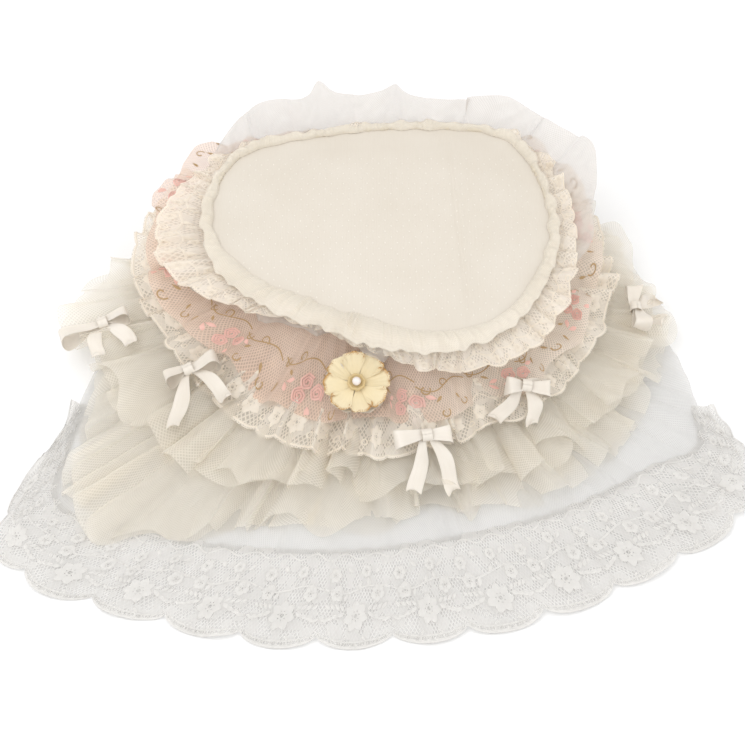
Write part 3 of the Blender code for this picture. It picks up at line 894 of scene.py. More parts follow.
@dataclass
class Strip:
    """A gathered strip of cloth on its CAD ring.

    Attributes:
        name: The piece's name.
        node: The CAD ring that it is read off.
        finish: Its cloth.
        slot: The record's material slot; not used.
        folds: Gathers round the strip.
        depth: How far the gathers stand out at the hem.
        lean: How far their crests lean sideways at the hem.
        wander: How uneven the hem is.
        seed: For the random draw.
        scallops: Its edge, if it is scalloped.
        lift: How far it lies over its ring.
        crisp: Sharpness of the folds; 1 is a plain wave.
        columns: How finely it is cut round the object.
        rows: How finely from seam to hem.
        fade: How quickly the gathers grow from the seam.
        pleats: Small pleats at the seam.
        spread: How far the whole hem is let out.
        slant: How far folds run sideways by the hem, as a share of the way round.
        crumple: Depth of small dents all over the cloth.
        tips: Plan angle, reach and half width in degrees of each corner that sticks out.
        tuck: Share of its width that is turned under at the front left.
        pleated: Middle and half width in degrees of a stretch with narrow pleats.
        replaces: True if the piece stands for its node.
        length: Cut length of the cloth, as made.
        width: Its cut width.
        around: Length of the ring's hem.
        repeats: How many scallops there are.
        piece: The mesh object.
    """

    name: str
    node: str
    finish: Cloth
    slot: str
    folds: int
    depth: float
    lean: float = 0.003
    wander: float = 0.002
    seed: int = 1
    scallops: Scallops | None = None
    lift: float = 0.0
    crisp: float = 0.8
    columns: int = 1440
    rows: int = 22
    fade: float = 0.9
    pleats: float = 0.0007
    spread: float = 0.0
    slant: float = 0.008
    crumple: float = 0.0
    tips: tuple[tuple[float, float, float], ...] = ()
    tuck: float = 0.0
    pleated: tuple[float, float] | None = None
    replaces: bool = True
    length: float = field(default=0.0, init=False)
    width: float = field(default=0.0, init=False)
    around: float = field(default=0.0, init=False)
    repeats: int = field(default=0, init=False)
    piece: bpy.types.Object | None = field(default=None, init=False)

    def _angles(self, fall: Fall) -> Points:
        """Plan angles of the columns, evenly spaced along the hem."""
        fine, along = fall.hem(HEM_FINE)
        count = self.columns + (1 if fall.closed else 0)
        return np.interp(np.linspace(0, along[-1], count), along, fine)

    def _waves(self, draw: int, count: float, spread: float, place: Points) -> Points:
        """Height of one set of uneven folds at each place; draw tells the sets apart."""
        return ring_waves(self.seed + draw, count, spread)(place)

    def drape(self, fall: Fall) -> tuple[Points, Points]:
        """Work out where the cloth lies.

        Args:
            fall: Its ring.

        Returns:
            The grid of places, and each column's share of the way round.
        """
        angles = self._angles(fall)
        place = np.linspace(0, 1, len(angles))
        shares = np.linspace(0, 1, self.rows) ** 0.9
        grid = fall.at(angles, shares)
        if self.tuck:
            middle, half = TUCKED
            front = np.exp(-(((angles - middle) / half) ** 4))[:, None, None]
            grid = grid * (1 - front) + fall.at(angles, shares * (1 - self.tuck)) * front
        if fall.closed:
            around = unit(np.roll(grid[:-1], -1, 0) - np.roll(grid[:-1], 1, 0))
            around = np.concatenate([around, around[:1]])
        else:
            around = unit(np.gradient(grid, axis=0))
        down = unit(np.gradient(grid, axis=1))
        up = unit(np.cross(down, around))
        s, whole = shares[None, :], place[:, None]
        bed = whole + self.slant * s * self._waves(20, 9, 0.5, whole)
        main = self._waves(0, self.folds, 0.22, bed)
        main = np.sign(main) * np.abs(main) ** self.crisp
        lean = self._waves(50, self.folds, 0.22, bed)
        broad = self._waves(100, max(self.folds * 0.3, 3), 0.4, bed)
        fine = self._waves(150, self.folds * 3.1, 0.2, bed)
        grow = s ** self.fade
        strength = 1 + 0.5 * self._waves(120, 7, 0.5, whole)
        out = self.depth * grow * (main * strength + 0.6 * broad)
        out = out + self.pleats * (1 - s) ** 0.5 * fine + self.depth * 0.18 * grow * fine
        out = out + self.crumple * s**0.3 * self._dents(place, shares)
        if self.pleated:
            out = out + self._narrow_pleats(angles, place, fall.closed) * np.sqrt(s * (1.15 - s))
        hem = self.wander * s * self._waves(200, self.folds * 0.7, 0.5, whole) + self.spread * s
        for angle, reach, half in self.tips:
            hem = hem + reach * np.exp(-(((angles - angle) / half) ** 2))[:, None] * s**3
        if self.scallops:
            hem = hem - self.scallops.depth * self._notch(place)[:, None] * s ** 4
        grid = grid + up * (out + self.lift)[..., None] + around * (self.lean * grow * lean)[..., None]
        grid = grid + down[:, -1:, :] * hem[..., None]
        grid[..., 2] = np.maximum(grid[..., 2], 0.0006 + 0.0004 * s)
        return grid, place

    def _dents(self, place: Points, shares: Points) -> Points:
        """Small dents over the cloth.

        Args:
            place: (n) shares of the way round.
            shares: (m) shares of the way from seam to hem.

        Returns:
            (n, m) depths of about -1 to 1.
        """
        rng = np.random.default_rng(self.seed + 300)
        total = np.zeros((len(place), len(shares)))
        for _ in range(8):
            turns, rise = rng.integers(25, 90), rng.uniform(-5, 5)
            total += np.sin(2 * np.pi * (turns * place[:, None] + rise * shares[None, :] + rng.uniform()))
        return total / 3

    def _narrow_pleats(self, angles: Points, place: Points, closed: bool) -> Points:
        """Narrow pleats over one stretch of the strip.

        Args:
            angles: Plan angle of each column.
            place: Each column's share of the way round.
            closed: True if the strip goes right round.

        Returns:
            How far they stand out at each column.
        """
        middle, half = self.pleated
        within = np.exp(-((((angles - middle) % 360 + 180) % 360 - 180) / half) ** 4)
        narrow = np.abs(ring_waves(PLEAT_DRAW, 36 if closed else 20, 0.15)(place)) ** 0.7
        return PLEAT_RISE * (within * narrow)[:, None]

    def _notch(self, place: Points) -> Points:
        """How far the edge is cut in, 0 at the tip of a scallop and 1 between two."""
        across = 2 * ((place * self.repeats) % 1) - 1
        return 1 - np.sqrt(np.maximum(1 - SCALLOP_ROUND * across**2, 0))

    def build(self) -> None:
        fall = Fall(self.node)
        self.around = float(fall.hem(HEM_COARSE)[1][-1])
        if self.scallops:
            self.repeats = round(self.around / self.scallops.pitch)
        grid, place = self.drape(fall)
        steps_in = np.linalg.norm(np.diff(grid, axis=1), axis=2)
        self.width = float(steps_in.sum(1).mean())
        lengths = np.linalg.norm(np.diff(grid, axis=0), axis=2).sum(0)
        self.length = float(min(lengths[-1], lengths.mean() / GATHERED))
        uv = np.empty((*grid.shape[:2], 2))
        uv[..., 0] = place[:, None] * self.around
        uv[..., 1] = np.r_[0, np.cumsum(steps_in.mean(0))]
        if fall.closed:
            grid = grid[:-1]
        self.piece = grid_piece(self.name, grid, uv, fall.closed, self.finish)
        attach(self.piece, "root")
        if self.replaces:
            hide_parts(self.node)
        LOG.info("%s: cut %.3f x %.3f", self.name, self.width, self.length)

    def decorate(self, name: str, pattern: FlatPattern, pitch: float, finish: Cloth) -> None:
        """Lay a pattern on the strip, its repeats evened out to close round it.

        Args:
            name: The new piece's name.
            pattern: One repeat.
            pitch: About how far apart the repeats are.
            finish: Its thread.
        """
        repeats = max(round(self.around / pitch), 1)
        piece = lay_pattern(name, pattern, self.piece, self.around / repeats, repeats, finish)
        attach(piece, "root")
        LOG.info("%s: %d repeats, %d faces", name, repeats, len(piece.data.polygons))


@dataclass
class Skirt:
    """All the gathered strips, from the lace collar down to the lace-edged train."""

    collar: Strip = field(default_factory=lambda: Strip(
        "lace_collar_cloth", "lace_collar", COLLAR_LACE, "collar_lace", 40, 0.0022, 0.0018, 0.0012, 11,
        Scallops(0.017, 0.0030), rows=16, tuck=0.35))
    organza: Strip = field(default_factory=lambda: Strip(
        "organza_frill_cloth", "organza_frill", ORGANZA, "organza", 18, 0.0036, 0.004, 0.0020, 21,
        rows=20, crumple=0.0006, tips=((111, 0.009, 3), (86, 0.003, 6), (55, 0.005, 5), (28, 0.007, 7))))
    pink: Strip = field(default_factory=lambda: Strip(
        "pink_tulle_cloth", "pink_tulle_flounce", PINK_TULLE, "pink_tulle", 20, 0.0042, 0.004, 0.003, 31,
        crumple=0.0005, fade=1.1))
    narrow: Strip = field(default_factory=lambda: Strip(
        "narrow_lace_cloth", "narrow_lace_flounce", NARROW_LACE, "narrow_lace", 34, 0.0042, 0.004, 0.002,
        41, Scallops(0.020, 0.0035), fade=1.5))
    upper: Strip = field(default_factory=lambda: Strip(
        "upper_tulle_cloth", "upper_tulle_flounce", CREAM_TULLE, "cream_tulle", 32, 0.0066, 0.006, 0.006,
        51, **TULLE_FOLDS))
    upper_ply: Strip = field(default_factory=lambda: Strip(
        "upper_tulle_under_ply", "upper_tulle_flounce", CREAM_TULLE, "cream_tulle", 25, 0.0060, 0.006,
        0.006, 56, lift=-0.003, replaces=False, **TULLE_FOLDS))
    lower: Strip = field(default_factory=lambda: Strip(
        "lower_tulle_cloth", "lower_tulle_flounce", CREAM_TULLE, "cream_tulle", 28, 0.0064, 0.006, 0.007,
        61, **TULLE_FOLDS))
    lower_ply: Strip = field(default_factory=lambda: Strip(
        "lower_tulle_under_ply", "lower_tulle_flounce", CREAM_TULLE, "cream_tulle", 22, 0.0058, 0.006,
        0.007, 66, lift=-0.003, replaces=False, **TULLE_FOLDS))
    train: Strip = field(default_factory=lambda: Strip(
        "train_tulle_cloth", "train_tulle", TRAIN_TULLE, "train_tulle", 22, 0.0022, 0.002, 0.0, 71,
        lift=0.001, spread=0.0045, pleated=TRAIN_PLEATS))
    border: Strip = field(default_factory=lambda: Strip(
        "train_lace_cloth", "train_lace", TRAIN_LACE, "train_lace", 12, 0.0016, 0.001, 0.0, 81,
        Scallops(0.050, 0.0125), lift=0.0012, columns=1200, rows=26, pleated=TRAIN_PLEATS))

    def build(self) -> None:
        """Make every strip and work the lace and the embroidery on them."""
        for strip in (self.collar, self.organza, self.pink, self.narrow, self.upper, self.upper_ply,
                      self.lower, self.lower_ply, self.train, self.border):
            strip.build()
        self._work_lace(self.collar, "lace_collar_figures")
        self._work_lace(self.narrow, "narrow_lace_figures")
        self._work_border()
        self._embroider()

    @staticmethod
    def _work_lace(strip: Strip, name: str) -> None:
        """Work scallop cords, blossoms and eyelets on a narrow lace.

        Args:
            strip: The lace.
            name: Name of the worked piece.
        """
        pitch, width = strip.scallops.pitch, strip.width
        pattern = FlatPattern()
        xs = np.linspace(0, pitch, 11)
        pattern.cord(zip(xs, np.full(11, width * 0.975)), 0.0011)
        pattern.blossom(pitch / 2, width * 0.78, min(pitch * 0.34, width * 0.16), 6, 30)
        pattern.eyelet(0, width * 0.86, 0.0016, 0.0008)
        pattern.vine(0, pitch, width * 0.58, width * 0.05, 0.0009)
        pattern.petal(pitch * 0.2, width * 0.60, 0.005, 0.0022, 60)
        pattern.petal(pitch * 0.7, width * 0.56, 0.005, 0.0022, -70)
        pattern.blossom(0, width * 0.36, min(pitch * 0.22, width * 0.12), 5, 0)
        strip.decorate(name, pattern, pitch, LACE_THREAD)

    def _work_border(self) -> None:
        """Work the deep floral lace of the train: scallop cords, sprays of blossoms and leaves."""
        pitch, width = self.border.scallops.pitch, self.border.width
        pattern = FlatPattern()
        for share, cord in ((0.985, 0.0016), (0.94, 0.0010)):
            pattern.cord(zip(np.linspace(0, pitch, 25), np.full(25, width * share)), cord)
        for k in range(9):
            pattern.eyelet(pitch * (k + 0.5) / 9, width * 0.9625, 0.0011, 0.0006)
        centre, middle = pitch / 2, width * 0.70
        pattern.blossom(centre, middle, 0.0095, 7, 10)
        for hand in (-1, 1):
            pattern.blossom(centre + hand * 0.016, middle - 0.013, 0.0055, 5, hand * 20)
            pattern.curl(centre + hand * 0.006, middle + 0.012, 0.0055, 90 - hand * 70, hand, 0.0012)
            for k in range(4):
                x = centre + hand * (0.009 + 0.0035 * k)
                pattern.petal(x, middle - 0.002 + 0.002 * k, 0.0065, 0.0026, 90 - hand * (60 + 10 * k))
                pattern.petal(x, middle - 0.003, 0.0055, 0.0022, -90 + hand * 45)
        pattern.vine(0, pitch, width * 0.44, width * 0.035, 0.0012)
        pattern.blossom(0.006, width * 0.30, 0.0052, 6, 0)
        pattern.blossom(pitch * 0.62, width * 0.26, 0.0046, 5, 30)
        for x, y, heading in ((0.2, 0.40, 60), (0.34, 0.47, 110), (0.5, 0.45, -60), (0.68, 0.42, -100),
                              (0.82, 0.38, 70), (0.3, 0.20, 40), (0.85, 0.22, 140)):
            pattern.petal(pitch * x, width * y, 0.0065, 0.0026, heading)
        wave = np.cos(np.linspace(0, 4 * np.pi, 15))
        pattern.cord(zip(np.linspace(0, pitch, 15), width * 0.10 + 0.0022 * wave), 0.0011)
        self.border.decorate("train_lace_figures", pattern, pitch, TRAIN_THREAD)

    def _embroider(self) -> None:
        """Embroider rolled roses with leaves, and scrolling stems, on the pink tulle."""
        width, pitch = self.pink.width, ROSE_PITCH
        roses, stems = FlatPattern(), FlatPattern()
        for x, y, radius in ((0.030, 0.62, 0.0048), (0.0385, 0.70, 0.0050), (0.029, 0.80, 0.0046)):
            roses.rose(x, width * y, radius, x * 900)
        for x, y, heading in ((0.022, 0.66, 160), (0.044, 0.62, 20), (0.036, 0.88, 70), (0.020, 0.84, 220)):
            roses.petal(x, width * y, 0.007, 0.003, heading)
        for k in range(2):
            stems.vine(k * pitch / 2, (k + 1) * pitch / 2, width * (0.42 + 0.06 * k), 0.0035, 0.0008)
        for x, y, heading, hand in ((0.008, 0.44, 80, 1), (0.020, 0.40, -70, -1), (0.048, 0.50, 70, 1),
                                    (0.062, 0.46, -80, -1), (0.056, 0.86, 60, 1), (0.070, 0.80, 120, -1)):
            stems.curl(x, width * y, 0.0036, heading, hand, 0.0009)
        for x, y, heading in ((0.012, 0.56, 30), (0.054, 0.64, 140), (0.066, 0.66, 60), (0.006, 0.72, 100)):
            stems.petal(x, width * y, 0.0058, 0.0020, heading)
        self.pink.decorate("pink_tulle_roses", roses, pitch, ROSE_THREAD)
        self.pink.decorate("pink_tulle_stems", stems, pitch, GOLD_THREAD)


# ------------------------------------------------------------------ the pad


@dataclass
class Pad:
    """The stuffed pad: wadding in a cotton cover, its swiss-dot top and the gathered binding.

    Attributes:
        shrink: How far the cushion stays inside its CAD outline before it swells.
        pressure: Air pressure inside it.
        frames: How long it swells.
        most_swell: The furthest that it may swell.
        voxel: Size of its mesh.
        dot_pitch: Distance between two swiss dots of a row.
        crease_at: Where the cover's crease crosses the middle, to the right of the axis.
        floor: Height of its underside.
        rim: Height of its seam.
        top: Height of its crown.
        reach: Distance from the axis to its gusset, by plan angle.
        cover_area: Flat area of the cover's top.
    """

    shrink: float = 0.0016
    pressure: float = 4.0
    frames: int = 20
    most_swell: float = 0.004
    voxel: float = 0.005
    dot_pitch: float = 0.0085
    crease_at: float = 0.052
    floor: float = field(init=False)
    rim: float = field(init=False)
    top: float = field(init=False)
    reach: Callable[[Points], Points] = field(init=False)
    cover_area: float = field(init=False)

    @staticmethod
    def outline(node: str) -> Callable[[Points], Points]:
        """Read the outside of a CAD node.

        Args:
            node: The node's name.

        Returns:
            A smooth function of plan angle that gives the distance from the axis.
        """
        _, reach, near = by_spoke(node)
        most = np.array([reach[near == k].max() for k in range(SPOKES)])

        def at(angles: Points) -> Points:
            """Distance from the axis at each plan angle."""
            return smooth_round(most, (angles % 360) / SPOKE, True)

        return at

    def build(self) -> None:
        """Make the pad, its cover's top and the binding."""
        low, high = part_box("top_panel")
        self.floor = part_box("bottom_panel")[0].z
        self.rim, self.top = low.z, high.z
        self.reach = self.outline("side_band")
        stuffed = self._stuffed()
        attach(stuffed, "root")
        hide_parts("pillow_core", "side_band", "bottom_panel")
        cover = self._cover(stuffed)
        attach(cover, "root")
        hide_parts("top_panel")
        self._dots(cover)
        self._binding()
        self._heading(cover)

    def _stuffed(self) -> bpy.types.Object:
        """Make the closed cushion: lofted, then swelled by a cloth simulation, firm at rim and base.

        Returns:
            The cushion.
        """
        count = 96
        angles = np.arange(count) * 360 / count
        reach = self.reach(angles) - self.shrink
        rim, floor = self.rim, self.floor + 0.0004
        rows = [(0.35, 0.0, floor), (0.70, 0.0, floor), (1.0, 0.010, floor), (1.0, 0.003, floor + 0.002),
                (1.0, 0.0, floor + 0.009), (1.0, -0.0006, (floor + rim) / 2), (1.0, 0.0, rim - 0.008),
                (1.0, 0.0018, rim - 0.001), (1.0, 0.006, rim + 0.0006), (0.78, 0.0, rim + 0.0014),
                (0.42, 0.0, rim + 0.0024)]
        turn = np.radians(angles)
        points = []
        for share, inset, height in rows:
            r = (reach - inset) * share
            points.append(np.stack([r * np.cos(turn), r * np.sin(turn), np.full(count, height)], axis=1))
        grid = np.concatenate(points)
        grid = np.concatenate([grid, [[0, 0, floor], [0, 0, rim + 0.003]]])
        faces = []
        top = (len(rows) - 1) * count
        for i in range(count):
            j = (i + 1) % count
            for low in range(0, top, count):
                faces.append((low + i, low + j, low + count + j, low + count + i))
            faces.append((j, i, len(grid) - 2))
            faces.append((top + i, top + j, len(grid) - 1))
        piece = mesh_piece("stuffed_pad", grid, faces, None, PAD_COTTON)
        remesh = piece.modifiers.new("even", "REMESH")
        remesh.mode, remesh.voxel_size = "VOXEL", self.voxel
        self._bake(piece)
        self._swell(piece)
        soften(piece)
        piece.data.polygons.foreach_set("use_smooth", [True] * len(piece.data.polygons))
        return piece

    @staticmethod
    def _bake(piece: bpy.types.Object) -> None:
        """Turn a piece's modifiers into its mesh.

        Args:
            piece: The piece.
        """
        bpy.context.view_layer.update()
        mesh = bpy.data.meshes.new_from_object(piece.evaluated_get(bpy.context.evaluated_depsgraph_get()))
        piece.modifiers.clear()
        piece.data = mesh
        if not mesh.materials:
            mesh.materials.append(PAD_COTTON.material())

    def _swell(self, piece: bpy.types.Object) -> None:
        """Swell the cushion with air pressure; its seams and base stay put.

        Args:
            piece: The cushion.
        """
        rest = np.array([v.co for v in piece.data.vertices])
        group = piece.vertex_groups.new(name="seams")
        angles = np.degrees(np.arctan2(rest[:, 1], rest[:, 0]))
        edge = self.reach(angles) - self.shrink - np.hypot(rest[:, 0], rest[:, 1])
        held = (rest[:, 2] < self.floor + 0.004) | ((rest[:, 2] > self.rim - 0.006) & (edge < 0.007))
        group.add(np.flatnonzero(held).tolist(), 1.0, "REPLACE")
        cloth = piece.modifiers.new("cloth", "CLOTH")
        settings = cloth.settings
        settings.vertex_group_mass = group.name
        settings.use_pressure = True
        settings.uniform_pressure_force = self.pressure
        settings.effector_weights.gravity = 0
        settings.quality = 5
        scene = bpy.context.scene
        for frame in range(1, self.frames + 1):
            scene.frame_set(frame)
        done = piece.evaluated_get(bpy.context.evaluated_depsgraph_get()).data
        moved = np.array([v.co for v in done.vertices]) - rest
        far = np.linalg.norm(moved, axis=1, keepdims=True)
        moved *= np.minimum(1, self.most_swell / np.maximum(far, 1e-9))
        piece.modifiers.clear()
        piece.data.vertices.foreach_set("co", (rest + moved).astype(np.float32).ravel())
        piece.data.update()
        scene.frame_set(1)
        LOG.info("pad swelled by up to %.1f mm", 1000 * np.linalg.norm(moved, axis=1).max())

    def _cover(self, stuffed: bpy.types.Object) -> bpy.types.Object:
        """Make the top of the cotton cover, stretched over the cushion, with one soft crease.

        Args:
            stuffed: The cushion.

        Returns:
            The cover.
        """
        bpy.context.view_layer.update()
        tree = ray_tree(stuffed.evaluated_get(bpy.context.evaluated_depsgraph_get()).data)
        count, rings = 384, 90
        angles = np.arange(count + 1) * 360 / count
        turn = np.radians(angles)
        low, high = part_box("seam_binding")
        reach = self.outline("seam_binding")(angles) - (high.z - low.z) / 2
        grid = np.empty((count + 1, rings, 3))
        shares = np.linspace(0.01, 1, rings)
        for j, share in enumerate(shares):
            x, y = reach * share * np.cos(turn), reach * share * np.sin(turn)
            rise = (1 - share**2) * (self.top - self.rim - 0.0026)
            for i in range(count + 1):
                found = tree.ray_cast(Vector((x[i], y[i], 1)), DOWN)[0]
                z = max(found.z if found and share < 0.93 else 0.0, self.rim + rise)
                grid[i, j] = x[i], y[i], z + 0.0008
        for _ in range(6):
            z = grid[:-1, :, 2]
            z[:, 1:-1] = (z[:, :-2] + z[:, 2:] + 2 * z[:, 1:-1] + np.roll(z, 1, 0)[:, 1:-1]
                          + np.roll(z, -1, 0)[:, 1:-1]) / 6
            grid[-1, :, 2] = z[0]
        off = (grid[..., 0] - self.crease_at + 0.06 * grid[..., 1]) / 0.0016
        grid[..., 2] -= (0.0010 * np.exp(-(off**2)) - 0.0005 * np.exp(-((off - 2) ** 2))) * (1 - shares**6)
        grid[:, -1, 2] = self.rim - 0.001
        self.cover_area = float(np.pi * (reach[:-1] ** 2).mean())
        flat = grid_piece("pad_cover_top", grid[:-1], grid[..., :2].copy(), True, PAD_COTTON)
        mesh = flat.data
        hole = [i * rings for i in range(count)]
        middle = np.array([mesh.vertices[i].co for i in hole]).mean(0)
        points = [tuple(v.co) for v in mesh.vertices] + [tuple(middle)]
        faces = [tuple(f.vertices) for f in mesh.polygons]
        faces += [(hole[i], hole[(i + 1) % count], len(points) - 1) for i in range(count)]
        bpy.data.objects.remove(flat)
        where = np.array(points)[np.array([i for f in faces for i in f])][:, :2]
        return mesh_piece("pad_cover_top", np.array(points), faces, where, PAD_COTTON)

    def _dots(self, cover: bpy.types.Object) -> None:
        """Lay the swiss dots on the cover's top: small raised tufts in offset rows.

        Args:
            cover: The cover.
        """
        pattern = FlatPattern()
        pitch = self.dot_pitch
        corners = [math.radians(60 * k) for k in range(6)]
        across, along, rise = 0.00055, 0.0009, 0.00035
        for row in range(-14, 15):
            for column in range(-14, 15):
                x = (column + 0.5 * (row % 2)) * pitch
                y = row * pitch * 0.62
                reach = self.reach(np.array([math.degrees(math.atan2(y, x))]))[0]
                if math.hypot(x, y) > reach - 0.008:
                    continue
                base = len(pattern.points)
                pattern.points += [(x + across * math.cos(turn), y + along * math.sin(turn), 0.0)
                                   for turn in corners]
                pattern.points.append((x, y, rise))
                pattern.faces += [(base + k, base + (k + 1) % 6, base + 6) for k in range(6)]
        piece = lay_pattern("swiss_dots", pattern, cover, 1.0, 1, DOT_COTTON, lift=0.00005)
        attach(piece, "root")

    def _binding(self) -> None:
        """The gathered net strip that binds the pad's rim: a soft ruched roll."""
        lo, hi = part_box("seam_binding")
        reach = self.outline("seam_binding")
        radius = (hi.z - lo.z) / 2
        count, ring = 1100, 12
        place = np.linspace(0, 1, count + 1)
        angles = place * 360
        turn = np.radians(angles)[:, None]
        around = np.linspace(0, 2 * np.pi, ring)[None, :]
        ruche = ring_waves(5, 190, 0.25, 6)(place)[:, None]
        twist = ring_waves(6, 60, 0.3, 4)(place)[:, None]
        fat = radius * (0.86 + 0.18 * ruche * (0.6 + 0.4 * np.cos(around + 2 * twist)) + 0.10 * twist)
        middle = (reach(angles) - radius)[:, None]
        r = middle + fat * np.cos(around) * 1.1
        z = (lo.z + hi.z) / 2 + fat * np.sin(around) * 0.9
        grid = np.stack([r * np.cos(turn), r * np.sin(turn), z], axis=-1)
        uv = np.stack([np.broadcast_to(place[:, None] * 1.4, r.shape),
                       np.broadcast_to(around * radius, r.shape)], axis=-1)
        piece = grid_piece("binding_ruched_net", grid[:-1, ::-1], uv[:, ::-1], True, BINDING_NET)
        shape = bmesh.new()
        shape.from_mesh(piece.data)
        bmesh.ops.remove_doubles(shape, verts=shape.verts, dist=1e-6)
        shape.to_mesh(piece.data)
        shape.free()
        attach(piece, "root")
        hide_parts("seam_binding")

    def _heading(self, cover: bpy.types.Object) -> None:
        """Make the gathered net heading that lies over the pad's rim, wide at the front left.

        Args:
            cover: The pad's cover, which it lies on.
        """
        tree = ray_tree(cover.data)
        lo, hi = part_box("seam_binding")
        place = np.linspace(0, 1, 1201)
        angles = place * 360
        wide = np.exp(-(((angles - 247) / 62) ** 4)) + 0.25 * np.exp(-(((angles - 325) / 25) ** 2))
        wide = wide + 0.12 * ring_waves(15, 9, 0.5)(place)
        middle = self.outline("seam_binding")(angles) - (hi.z - lo.z) / 2
        t = np.linspace(0, 1, 13)[None, :]
        inner = (0.0032 + 0.0080 * wide + 0.0007 * ring_waves(16, 34, 0.4)(place))[:, None]
        outer = (0.0040 + 0.0054 * wide + 0.0010 * ring_waves(17, 40, 0.4)(place))[:, None]
        reach = middle[:, None] - inner + (inner + outer) * t
        turn = np.radians(angles)[:, None]
        x, y = reach * np.cos(turn), reach * np.sin(turn)
        start = np.array([
            (tree.ray_cast(Vector((a, b, 1)), DOWN)[0] or Vector((0, 0, self.rim))).z
            for a, b in zip(x[:, 0], y[:, 0])
        ])[:, None]
        full = np.clip(wide, 0, 1)[:, None]
        end = hi.z - 0.0012 - 0.0030 * full
        hump = np.sin(np.pi * t) ** 0.5
        z = (start + 0.0002) * (1 - t) + end * t
        z = z * (1 - hump) + (hi.z + 0.0004 + 0.0012 * full) * hump
        gather = ring_waves(18, 105, 0.3, 6)(place)[:, None]
        loose = ring_waves(19, 60, 0.3, 5)(place)[:, None]
        z = z + 0.0005 * gather * hump + 0.0011 * loose * t**2 + 0.0004 * np.abs(gather) * (1 - t)
        grid = np.stack([x, y, z], axis=-1)
        across = np.linalg.norm(np.diff(grid, axis=1), axis=2)
        lengths = np.linalg.norm(np.diff(grid, axis=0), axis=2).sum(0)
        width, length = float(across.sum(1).mean()), float(lengths.mean() / GATHERED)
        uv = np.stack([np.broadcast_to(place[:, None] * length, x.shape),
                       np.broadcast_to(np.r_[0, np.cumsum(across.mean(0))][None, :], x.shape)], axis=-1)
        piece = grid_piece("binding_net_heading", grid[:-1], uv, True, HEADING_NET)
        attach(piece, "root")


# ------------------------------------------------------------------ the bows


